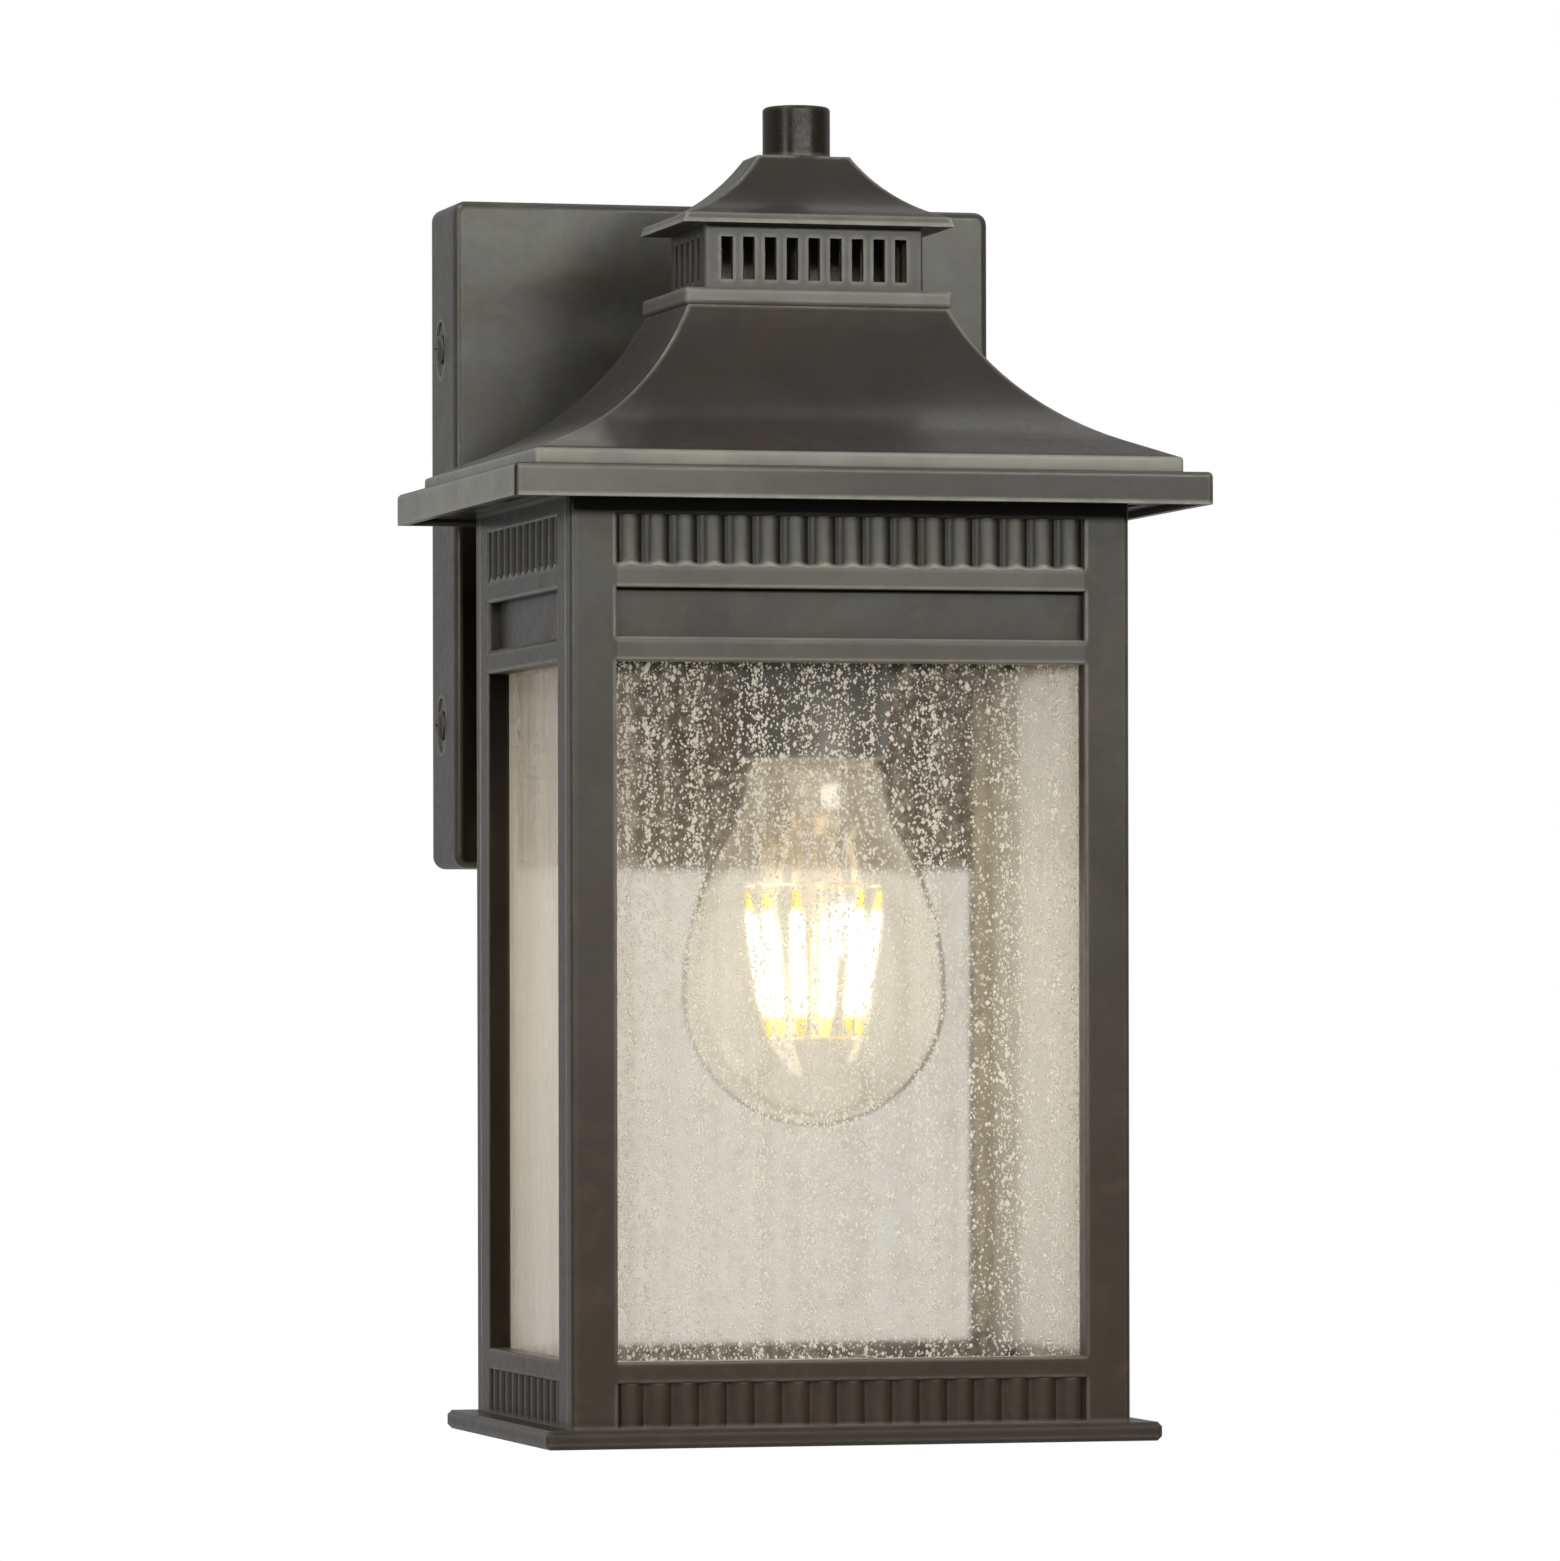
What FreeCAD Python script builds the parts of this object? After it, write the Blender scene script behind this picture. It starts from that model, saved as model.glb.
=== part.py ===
import FreeCAD, Part
import math
import os
import re
import Sketcher

# An outdoor wall lantern: a back plate on a wall box carries a glazed cage under two flared hip roofs.
# The origin is the middle of the back plate on the wall, -Y points out from the wall and +Z is up.
# Lengths are in millimetres and slopes in degrees.

SIZES = {
    # back plate, a shallow pan over the wall box
    "plate_width": 129.0,
    "plate_height": 155.0,
    "plate_depth": 24.5,
    "plate_wall": 1.6,
    "plate_corner_radius": 3.0,
    "plate_edge_radius": 2.0,
    "plate_screw_rise": 44.0,
    "plate_screw_setback": 9.0,
    "plate_screw_radius": 2.0,
    "plate_screw_head_radius": 3.4,
    "plate_screw_head_height": 1.6,
    "plate_screw_grip": 3.4,
    "dimple_length": 13.0,
    "dimple_width": 8.4,
    "dimple_depth": 0.5,
    # bracket on the wall box
    "bracket_height": 108.0,
    "bracket_wall": 1.5,
    "bracket_flange": 15.0,
    "bracket_play": 0.2,
    "box_screw_spacing": 79.4,
    "box_slot_length": 26.0,
    "box_slot_width": 5.0,
    "wire_hole_radius": 11.0,
    "wire_hole_drop": 26.0,
    "ground_screw_reach": 34.0,
    "ground_screw_drop": 36.0,
    "ground_screw_radius": 1.9,
    "ground_head_radius": 3.6,
    "ground_head_height": 2.0,
    # arm between the back plate and the cage
    "arm_width": 46.0,
    "arm_height": 25.0,
    "arm_level": -14.0,
    "arm_corner_radius": 3.0,
    "wire_bore_radius": 6.5,
    "bolt_spacing": 32.0,
    "bolt_radius": 2.0,
    "bolt_head_radius": 3.8,
    "bolt_head_height": 2.4,
    "bolt_nut_radius": 4.4,
    "bolt_nut_height": 3.2,
    "bolt_end": 1.5,
    "bushing_lip": 1.5,
    "bushing_wall": 1.4,
    "bushing_flange": 1.2,
    # cage panels
    "axis_reach": 91.0,
    "soffit_level": 3.0,
    "cage_width": 128.0,
    "cage_depth": 95.0,
    "cage_height": 205.5,
    "panel_wall": 5.0,
    "cage_corner_radius": 1.3,
    "opening_edge_radius": 0.5,
    "front_post": 10.45,
    "side_post": 12.85,
    "front_reeds": 17,
    "side_reeds": 11,
    "frieze_drop": 4.6,
    "frieze_height": 10.7,
    "frieze_recess": 1.3,
    "frieze_rail": 5.4,
    "blank_height": 10.75,
    "blank_recess": 2.7,
    "window_rail": 5.35,
    "low_rail": 4.85,
    "low_frieze_height": 9.65,
    "low_frieze_margin": 0.3,
    "sill_bevel": 0.8,
    "reed_width": 5.5,
    "reed_rise": 1.0,
    "reed_root": 0.2,
    # panes and their clips
    "glass_thickness": 3.0,
    "glass_lap": 5.0,
    "glass_gap": 0.5,
    "glass_edge": 0.4,
    "clip_width": 8.0,
    "clip_wall": 0.8,
    "clip_foot": 6.5,
    "clip_lap": 4.0,
    "clip_play": 0.1,
    "front_clip_spacing": 64.0,
    "side_clip_spacing": 40.0,
    # base plate
    "base_wall": 4.2,
    "base_side_overhang": 6.5,
    "base_front_overhang": 3.5,
    "base_corner_radius": 1.5,
    "base_bevel": 1.0,
    "base_ledge": 5.0,
    "base_opening_radius": 4.0,
    # screws into the panels' edges
    "screw_radius": 1.25,
    "screw_head_radius": 2.7,
    "screw_head_height": 1.5,
    "screw_bite": 9.0,
    "screw_spare": 1.0,
    "screw_inset": 4.0,
    # soffit plate and main roof
    "soffit_wall": 1.5,
    "soffit_play": 0.3,
    "vent_length": 22.0,
    "vent_width": 4.6,
    "vent_reach": 6.6,
    "vent_spread": 19.0,
    "eave_side_overhang": 15.5,
    "eave_front_overhang": 13.75,
    "eave_rim_drop": 1.6,
    "eave_height": 7.2,
    "eave_edge_radius": 1.2,
    "lip_side_inset": 5.5,
    "lip_front_inset": 4.75,
    "lip_height": 3.55,
    "lip_edge_radius": 0.8,
    "roof_wall": 2.0,
    "roof_rise": 34.95,
    "roof_top_slope": 64.0,
    "roof_foot_slope": 22.0,
    "roof_foot_run": 10.3,
    "roof_top_inset": 0.9,
    "roof_hole_ledge": 8.0,
    # cupola
    "collar_width": 62.2,
    "collar_depth": 40.4,
    "collar_height": 3.9,
    "collar_edge_radius": 1.0,
    "louvre_side_inset": 5.6,
    "louvre_front_inset": 4.7,
    "louvre_height": 15.5,
    "louvre_wall": 1.8,
    "louvre_corner_radius": 0.8,
    "cupola_floor": 2.2,
    "slot_width": 2.7,
    "slot_height": 9.6,
    "slot_rise": 2.2,
    "slot_pitch": 5.05,
    "front_slots": 9,
    "side_slots": 5,
    "flue_radius": 5.0,
    "flue_reach": 13.0,
    # cap roof and finial
    "cap_side_overhang": 5.87,
    "cap_front_overhang": 5.06,
    "cap_rim_drop": 1.0,
    "cap_fascia_height": 2.1,
    "cap_fascia_cant": 0.7,
    "cap_rise": 14.5,
    "cap_top_slope": 55.5,
    "cap_foot_slope": 16.0,
    "cap_top_width": 21.4,
    "cap_top_depth": 13.6,
    "finial_radius": 7.65,
    "finial_height": 11.5,
    "finial_edge_radius": 0.9,
    "finial_crown": 2.2,
    # central rod
    "rod_radius": 3.0,
    "rod_hole_clearance": 0.3,
    "rod_tail": 6.0,
    "rod_end_gap": 1.0,
    "nut_radius": 6.0,
    "nut_height": 4.5,
    "running_clearance": 0.05,
    # socket
    "socket_offset": 3.5,
    "strap_drop": 9.5,
    "strap_wall": 1.5,
    "strap_depth": 16.0,
    "strap_half_span": 19.0,
    "strap_flange": 12.0,
    "cup_radius": 17.2,
    "cup_wall": 1.3,
    "cup_height": 46.0,
    "cup_edge_radius": 2.0,
    "cup_rim_radius": 0.6,
    "chamber_depth": 12.5,
    "porcelain_roof": 7.0,
    "porcelain_inset": 1.2,
    "porcelain_play": 0.25,
    "boss_radius": 3.4,
    "boss_spacing": 21.0,
    "post_radius": 2.1,
    "post_reach": 6.0,
    "shell_radius": 13.2,
    "shell_wall": 0.6,
    "shell_play": 0.2,
    "contact_radius": 4.0,
    "contact_height": 0.8,
    "contact_gap": 0.3,
    # lamp
    "lamp_cap_radius": 13.1,
    "lamp_cap_wall": 0.5,
    "lamp_cap_height": 26.0,
    "lamp_tip_radius": 3.6,
    "lamp_tip_ledge": 1.0,
    "lamp_tip_height": 1.4,
    "lamp_insulator_height": 3.2,
    "bulb_radius": 30.0,
    "bulb_drop": 52.6,
    "bulb_shoulder_radius": 70.0,
    "bulb_neck_radius": 16.3,
    "bulb_neck_drop": 2.6,
    "bulb_wall": 0.9,
    "stem_radius": 5.0,
    "stem_length": 36.0,
    "stem_flare_height": 8.0,
    "spine_radius": 0.8,
    "filament_count": 6,
    "filament_radius": 0.9,
    "filament_top_drop": 29.0,
    "filament_length": 33.0,
    "filament_top_spread": 15.6,
    "filament_foot_spread": 10.4,
    "spoke_radius": 0.45,
    "spoke_gap": 0.2,
    "spoke_lift": 1.0,
    "spoke_end_lift": 0.5,
    # leads
    "lead_radius": 1.3,
    "lead_spacing": 6.4,
    "lead_bend": 9.0,
    "lead_setback": 11.5,
    "lead_splay": 15.0,
    "lead_drop": 34.0,
    "ground_lead_radius": 0.9,
    "ground_lead_bend": 2.7,
    "ground_lead_drop": 8.0,
    "connector_neck_radius": 3.2,
    "connector_radius": 5.6,
    "connector_length": 19.0,
    "fit_clearance": 0.05,
}

# Levels and widths that follow from the sizes
PLACES = {
    "cage_floor": "soffit_level - cage_height",
    "frieze_top": "soffit_level - frieze_drop",
    "frieze_foot": "frieze_top - frieze_height",
    "blank_top": "frieze_foot - frieze_rail",
    "blank_foot": "blank_top - blank_height",
    "window_top": "blank_foot - window_rail",
    "low_frieze_foot": "cage_floor + low_frieze_margin",
    "low_frieze_top": "low_frieze_foot + low_frieze_height",
    "window_foot": "low_frieze_top + low_rail",
    "front_opening": "cage_width - 2 * front_post",
    "side_opening": "cage_depth - 2 * side_post",
    "side_panel_width": "cage_depth - 2 * panel_wall",
    "pane_top": "window_top + glass_lap",
    "pane_foot": "window_foot - glass_lap",
    "front_pane_width": "cage_width - 2 * panel_wall - 2 * glass_gap",
    "side_pane_width": "side_panel_width - 2 * glass_thickness - 2 * glass_gap",
    "front_face": "-axis_reach - cage_depth / 2",
    "back_face": "-axis_reach + cage_depth / 2",
    "base_width": "cage_width + 2 * base_side_overhang",
    "base_depth": "cage_depth + 2 * base_front_overhang",
    "base_foot": "cage_floor - base_wall",
    "soffit_top": "soffit_level + soffit_wall",
    "eave_width": "cage_width + 2 * eave_side_overhang",
    "eave_depth": "cage_depth + 2 * eave_front_overhang",
    "eave_foot": "soffit_level - eave_rim_drop",
    "eave_top": "eave_foot + eave_height",
    "lip_width": "eave_width - 2 * lip_side_inset",
    "lip_depth": "eave_depth - 2 * lip_front_inset",
    "roof_foot": "eave_top + lip_height",
    "roof_top": "roof_foot + roof_rise",
    "roof_top_width": "collar_width - 2 * roof_top_inset",
    "roof_top_depth": "collar_depth - 2 * roof_top_inset",
    "collar_top": "roof_top + collar_height",
    "louvre_width": "collar_width - 2 * louvre_side_inset",
    "louvre_depth": "collar_depth - 2 * louvre_front_inset",
    "louvre_top": "collar_top + louvre_height",
    "cap_width": "louvre_width + 2 * cap_side_overhang",
    "cap_depth": "louvre_depth + 2 * cap_front_overhang",
    "cap_foot": "louvre_top - cap_rim_drop",
    "cap_eave": "cap_foot + cap_fascia_height",
    "cap_top": "cap_eave + cap_rise",
    "strap_top": "soffit_level - strap_drop",
    "cup_top": "strap_top - strap_wall",
    "cup_foot": "cup_top - cup_height",
    "porcelain_top": "cup_top - chamber_depth",
    "porcelain_foot": "cup_foot + porcelain_inset",
    "bore_roof": "porcelain_top - porcelain_roof",
    "tip_level": "bore_roof - contact_height - contact_gap",
    "cap_rim": "tip_level - lamp_cap_height",
    "bulb_level": "cap_rim - bulb_drop",
    "stem_foot": "cap_rim - stem_length",
    "filament_top": "cap_rim - filament_top_drop",
    "filament_foot": "filament_top - filament_length",
    "finial_bore_depth": "finial_height - finial_crown",
    "plate_inner_face": "-plate_depth + plate_wall",
    "bolt_head_face": "plate_inner_face + bolt_head_height",
    "panel_inner_face": "back_face - panel_wall",
}

ORIGIN = FreeCAD.Vector(0, 0, 0)
UPWARD = FreeCAD.Vector(0, 0, 1)
FLARE_STEPS = 5  # stations up a flared roof
NAME = re.compile(r"[a-z_]+")

doc = FreeCAD.newDocument("outdoor_wall_lantern")
sheet = doc.addObject("Spreadsheet::Sheet", "Sizes")
for row, (alias, size) in enumerate(SIZES.items(), start=1):
    sheet.set(f"A{row}", alias)
    sheet.set(f"B{row}", str(size))
    sheet.setAlias(f"B{row}", alias)
doc.recompute()
pieces = []


def bound(text):
    """The expression with each size pointed at its cell and each place written out."""

    def cell(match):
        word = match.group()
        if word in PLACES:
            return "(" + bound(PLACES[word]) + ")"
        return "Sizes." + word if word in SIZES else word

    return NAME.sub(cell, str(text))


def value(text):
    """The number that an expression in the sizes comes to."""
    return float(sheet.evalExpression(bound(text)))


def point(x, y, z):
    """A point whose coordinates are expressions."""
    return FreeCAD.Vector(value(x), value(y), value(z))


# Sketches

def place(piece, x="0", y="0", z="0", turn=0.0):
    """Put a piece at a place given as expressions, turned about the upright axis."""
    piece.Placement = FreeCAD.Placement(point(x, y, z), FreeCAD.Rotation(UPWARD, turn))
    for axis, text in zip("xyz", (x, y, z)):
        piece.setExpression("Placement.Base." + axis, bound(text))


def new_body(label, x="0", y="-axis_reach", z="0", turn=0.0, keep=True):
    """An empty body, on the lantern's axis unless told otherwise."""
    body = doc.addObject("PartDesign::Body", label)
    body.Label = label
    place(body, x, y, z, turn)
    if keep:
        pieces.append(body)
    return body


def sketch_on(body, role, offset="0"):
    """A sketch on one of the body's own origin planes, moved along that plane's normal."""
    sketch = body.newObject("Sketcher::SketchObject", body.Name + "_sketch")
    plane = next(feature for feature in body.Origin.OriginFeatures if feature.Role == role)
    sketch.AttachmentSupport = [(plane, "")]
    sketch.MapMode = "FlatFace"
    sketch.setExpression("AttachmentOffset.Base.z", bound(offset))
    return sketch


def hold(sketch, constraint, text):
    """Add a constraint whose value stays bound to an expression."""
    index = sketch.addConstraint(constraint)
    sketch.setExpression(f"Constraints[{index}]", bound(text))


def pin(sketch, edge, end, x, y):
    """Hold one point of an edge at a place given as expressions."""
    hold(sketch, Sketcher.Constraint("DistanceX", -1, 1, edge, end, value(x)), x)
    hold(sketch, Sketcher.Constraint("DistanceY", -1, 1, edge, end, value(y)), y)


def outline(sketch, corners, arcs=None):
    """A closed outline through corners given as expressions.

    arcs maps the number of a corner to the middle point and the radius of the arc that leaves it.
    """
    arcs = arcs or {}
    first = sketch.GeometryCount
    count = len(corners)
    ends = [point(x, y, "0") for x, y in corners]
    starts = []
    for k in range(count):
        here, there = ends[k], ends[(k + 1) % count]
        if k in arcs:
            middle = point(*arcs[k][0], "0")
            centre = Part.Arc(here, middle, there).toShape().Curve.Center
            leftward = (middle - here).cross(there - middle).z > 0
            ends_of_arc = (here, there) if leftward else (there, here)
            angles = [math.atan2(end.y - centre.y, end.x - centre.x) for end in ends_of_arc]
            full = Part.Circle(centre, UPWARD, (here - centre).Length)
            starts.append(1 if leftward else 2)
            sketch.addGeometry(Part.ArcOfCircle(full, *angles), False)
        else:
            starts.append(1)
            sketch.addGeometry(Part.LineSegment(here, there), False)
    for k in range(count):
        after = (k + 1) % count
        leave = 3 - starts[k]
        meeting = first + k, leave, first + after, starts[after]
        sketch.addConstraint(Sketcher.Constraint("Coincident", *meeting))
    for k, (x, y) in enumerate(corners):
        pin(sketch, first + k, starts[k], x, y)
    for k, (middle, radius) in arcs.items():
        hold(sketch, Sketcher.Constraint("Radius", first + k, value(radius)), radius)
    return sketch


def rectangle(sketch, width, height, x="0", y="0"):
    """A rectangle about a middle point."""
    left, right = f"({x}) - ({width}) / 2", f"({x}) + ({width}) / 2"
    low, high = f"({y}) - ({height}) / 2", f"({y}) + ({height}) / 2"
    return outline(sketch, [(left, low), (right, low), (right, high), (left, high)])


def circle(sketch, radius, x="0", y="0"):
    """A circle about a middle point."""
    ring = Part.Circle(point(x, y, "0"), UPWARD, value(radius))
    index = sketch.addGeometry(ring, False)
    pin(sketch, index, 3, x, y)
    hold(sketch, Sketcher.Constraint("Radius", index, value(radius)), radius)
    return sketch


# Features

def extrude(body, kind, sketch, length, along, symmetric):
    """A pad or pocket that runs along the sketch's normal, against it, or both ways."""
    feature = body.newObject("PartDesign::" + kind, body.Name + "_" + kind.lower())
    feature.Profile = sketch
    feature.SideType = "Symmetric" if symmetric else "One side"
    feature.Reversed = along == (kind == "Pocket")
    if length:
        feature.setExpression("Length", bound(length))
    else:
        feature.Type = "ThroughAll"
    doc.recompute()
    return feature


def pad(body, sketch, length, along=True, symmetric=False):
    """Material raised from a sketch."""
    return extrude(body, "Pad", sketch, length, along, symmetric)


def pocket(body, sketch, length="", along=False, symmetric=False):
    """Material cut away from a sketch, right through where no length is given."""
    before = body.Shape.Volume
    feature = extrude(body, "Pocket", sketch, length, along, symmetric)
    if not body.Shape.Volume < before:
        raise RuntimeError(body.Label + " has a pocket that cuts nothing")
    return feature


def slots(body, sketches, width, run, middles, depth, along, rising):
    """Pockets with round ends about middle points, level or rising, from two sketches on one plane."""
    straight, ends = sketches
    for x, y in middles:
        rectangle(straight, *((width, run) if rising else (run, width)), x, y)
        for side in ("-", "+"):
            shift = f" {side} ({run}) / 2"
            circle(ends, f"{width} / 2", *((x, y + shift) if rising else (x + shift, y)))
    pocket(body, straight, depth, along=along)
    pocket(body, ends, depth, along=along)


def revolve(body, sketch):
    """A full turn of a sketch about its upright axis."""
    feature = body.newObject("PartDesign::Revolution", body.Name + "_revolution")
    feature.Profile = sketch
    feature.ReferenceAxis = (sketch, ["V_Axis"])
    feature.Angle = 360.0
    doc.recompute()
    return feature


def loft(body, kind, sections, ruled=False):
    """A loft through sketches, added or cut away."""
    feature = body.newObject("PartDesign::" + kind, body.Name + "_loft")
    feature.Profile = sections[0]
    feature.Sections = sections[1:]
    feature.Ruled = ruled
    doc.recompute()
    return feature


def pattern(body, features, sketch, axis, length, count):
    """Copies of features in a row along one axis of a sketch."""
    row_of = body.newObject("PartDesign::LinearPattern", body.Name + "_pattern")
    row_of.Originals = features
    row_of.Direction = (sketch, [axis])
    row_of.setExpression("Length", bound(length))
    row_of.setExpression("Occurrences", bound(count))
    body.Tip = row_of
    doc.recompute()
    return row_of


def dress(body, kind, size, chosen):
    """A fillet or chamfer on the edges that a test picks out."""
    base = body.Tip
    names = [f"Edge{k}" for k, edge in enumerate(base.Shape.Edges, start=1) if chosen(edge)]
    feature = body.newObject("PartDesign::" + kind, body.Name + "_" + kind.lower())
    feature.Base = (base, names)
    feature.setExpression("Radius" if kind == "Fillet" else "Size", bound(size))
    doc.recompute()
    return feature


def upright(edge):
    """Whether an edge is straight and runs up."""
    box = edge.BoundBox
    return max(box.XLength, box.YLength) < 1e-4 < box.ZLength


def level(edge, height):
    """Whether an edge lies at a height."""
    box = edge.BoundBox
    return abs(box.ZMin - height) + abs(box.ZMax - height) < 1e-4


# Fasteners and groups of equal solids

def primitive(kind, **sizes):
    """A primitive with its sizes bound to expressions."""
    thing = doc.addObject("Part::" + kind, kind)
    for key, text in sizes.items():
        thing.setExpression(key, bound(text))
    return thing


def fuse(base, tool):
    """Two objects joined into one."""
    joined = doc.addObject("Part::Fuse", "joined")
    joined.Base = base
    joined.Tool = tool
    joined.Refine = True
    doc.recompute()
    return joined


def cut(base, tool):
    """One object with another cut out of it."""
    rest = doc.addObject("Part::Cut", "rest")
    rest.Base = base
    rest.Tool = tool
    doc.recompute()
    return rest


def screw(head_radius, head_height, shank_radius, shank_length):
    """A screw with its head up from the origin and its shank down from it."""
    head = primitive("Cylinder", Radius=head_radius, Height=head_height)
    shank = primitive("Cylinder", Radius=shank_radius, Height=shank_length)
    place(shank, z=f"-({shank_length})")
    return fuse(head, shank)


def nut(outer_radius, height, bore_radius):
    """A six-sided nut that stands up from the origin."""
    block = primitive("Prism", Circumradius=outer_radius, Height=height)
    bore = primitive("Cylinder", Radius=bore_radius, Height=height)
    return cut(block, bore)


def group(label, form, spots):
    """Copies of a form at several spots, kept as separate solids of one piece."""
    piece = doc.addObject("Part::Feature", label)
    piece.Label = label
    copies = []
    for spot in spots:
        copy = form.Shape.copy()
        copy.Placement = spot.multiply(copy.Placement)
        copies.append(copy)
    piece.Shape = Part.makeCompound(copies)
    pieces.append(piece)
    return piece


def spot(x, y, z, heading=UPWARD):
    """A place with the form's own up pointed along a heading."""
    return FreeCAD.Placement(point(x, y, z), FreeCAD.Rotation(UPWARD, heading))


def solid(label, shape):
    """A piece with a ready shape."""
    piece = doc.addObject("Part::Feature", label)
    piece.Label = label
    piece.Shape = shape
    pieces.append(piece)
    return piece


def bent_path(route, bend):
    """Straight runs through the points of a route, joined by tangent arcs."""
    edges = []
    start = route[0]
    for before, corner, after in zip(route, route[1:], route[2:]):
        inward = (corner - before).normalize()
        outward = (after - corner).normalize()
        half_turn = inward.getAngle(outward) / 2
        reach = bend * math.tan(half_turn)
        arrive, leave = corner - inward * reach, corner + outward * reach
        toward_middle = (outward - inward).normalize()
        crown = corner + toward_middle * (bend / math.cos(half_turn) - bend)
        edges.append(Part.LineSegment(start, arrive).toShape())
        edges.append(Part.Arc(arrive, crown, leave).toShape())
        start = leave
    edges.append(Part.LineSegment(start, route[-1]).toShape())
    return Part.Wire(edges)


def tube(path, radius):
    """A round tube along a path, checked against its section times its length."""
    first = path.Edges[0]
    ring = Part.Circle(first.valueAt(first.FirstParameter), first.tangentAt(first.FirstParameter), radius)
    shape = path.makePipeShell([Part.Wire(ring.toShape())], True, False)
    expected = math.pi * radius ** 2 * path.Length
    if abs(shape.Volume - expected) > 0.01 * expected:
        raise RuntimeError("a lead has the wrong volume")
    return shape


# Wall side

def back_plate():
    """The pan, open to the wall, with holes for the arm, the leads and the side screws."""
    body = new_body("back_plate", y="0")
    pad(body, rectangle(sketch_on(body, "XZ_Plane"), "plate_width", "plate_height"), "plate_depth")
    along_y = lambda edge: edge.BoundBox.YLength > value("plate_depth") / 2
    dress(body, "Fillet", "plate_corner_radius", along_y)
    front = -value("plate_depth")
    dress(body, "Fillet", "plate_edge_radius", lambda edge: edge.BoundBox.YMax < front + 1e-4)
    inside = "plate_width - 2 * plate_wall", "plate_height - 2 * plate_wall"
    pocket(body, rectangle(sketch_on(body, "XZ_Plane"), *inside), "plate_depth - plate_wall", along=True)
    places = [("-plate_screw_setback", rise) for rise in ("plate_screw_rise", "-plate_screw_rise")]
    for side in (-1, 1):
        faces = [sketch_on(body, "YZ_Plane", f"{side} * plate_width / 2") for _ in range(2)]
        run = "dimple_length - dimple_width"
        slots(body, faces, "dimple_width", run, places, "dimple_depth", side < 0, True)
    holes = sketch_on(body, "YZ_Plane")
    for place_of in places:
        circle(holes, "plate_screw_radius + fit_clearance", *place_of)
    pocket(body, holes, symmetric=True)
    passage = arm_holes(sketch_on(body, "XZ_Plane"))
    pocket(body, passage, symmetric=True)


def arm_holes(sketch):
    """The wire bore and the two bolt holes that the pan, the arm and the back panel share."""
    circle(sketch, "wire_bore_radius", "0", "arm_level")
    for side in ("-bolt_spacing / 2", "bolt_spacing / 2"):
        circle(sketch, "bolt_radius + fit_clearance", side, "arm_level")
    return sketch


def mounting_bracket():
    """A strap with two flanges that the pan's side screws grip, slotted for the wall box."""
    body = new_body("mounting_bracket", y="0")
    half = "plate_width / 2 - plate_wall - bracket_play"
    inner = f"{half} - bracket_wall"
    channel = [
        (f"-({half})", "0"), (half, "0"), (half, "-bracket_flange"), (inner, "-bracket_flange"),
        (inner, "-bracket_wall"), (f"-({inner})", "-bracket_wall"),
        (f"-({inner})", "-bracket_flange"), (f"-({half})", "-bracket_flange"),
    ]
    pad(body, outline(sketch_on(body, "XY_Plane"), channel), "bracket_height", symmetric=True)
    faces = [sketch_on(body, "XZ_Plane") for _ in range(2)]
    run = "box_slot_length - box_slot_width"
    places = [(side + "box_screw_spacing / 2", "0") for side in ("-", "")]
    slots(body, faces, "box_slot_width", run, places, "bracket_wall", True, False)
    wires = sketch_on(body, "XZ_Plane")
    circle(wires, "wire_hole_radius", "0", "-wire_hole_drop")
    circle(wires, "wire_hole_radius", "0", "wire_hole_drop")
    circle(wires, "ground_screw_radius + fit_clearance", "ground_screw_reach", "-ground_screw_drop")
    pocket(body, wires, "bracket_wall", along=True)
    grips = sketch_on(body, "YZ_Plane")
    circle(grips, "plate_screw_radius + fit_clearance", "-plate_screw_setback", "plate_screw_rise")
    circle(grips, "plate_screw_radius + fit_clearance", "-plate_screw_setback", "-plate_screw_rise")
    pocket(body, grips, symmetric=True)


def wall_screws():
    """The pan's four side screws and the ground screw on the bracket."""
    head = "plate_screw_head_radius", "plate_screw_head_height"
    form = screw(*head, "plate_screw_radius", "plate_wall - dimple_depth + plate_screw_grip")
    spots = []
    for side in (-1, 1):
        for rise in ("plate_screw_rise", "-plate_screw_rise"):
            seat = f"{side} * (plate_width / 2 - dimple_depth)"
            spots.append(spot(seat, "-plate_screw_setback", rise, FreeCAD.Vector(side, 0, 0)))
    group("plate_screws", form, spots)
    earth = screw("ground_head_radius", "ground_head_height", "ground_screw_radius", "bracket_wall")
    outward = FreeCAD.Vector(0, -1, 0)
    group("ground_screw", earth, [spot("ground_screw_reach", "-bracket_wall", "-ground_screw_drop", outward)])


def arm():
    """The short block between the pan and the back panel, bored for the leads and the bolts."""
    body = new_body("arm", y="-plate_depth")
    block = rectangle(sketch_on(body, "XZ_Plane"), "arm_width", "arm_height", "0", "arm_level")
    pad(body, block, "axis_reach - cage_depth / 2 - plate_depth")
    along_y = lambda edge: edge.BoundBox.YLength > value("arm_corner_radius")
    dress(body, "Fillet", "arm_corner_radius", along_y)
    pocket(body, arm_holes(sketch_on(body, "XZ_Plane")), symmetric=True)


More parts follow.
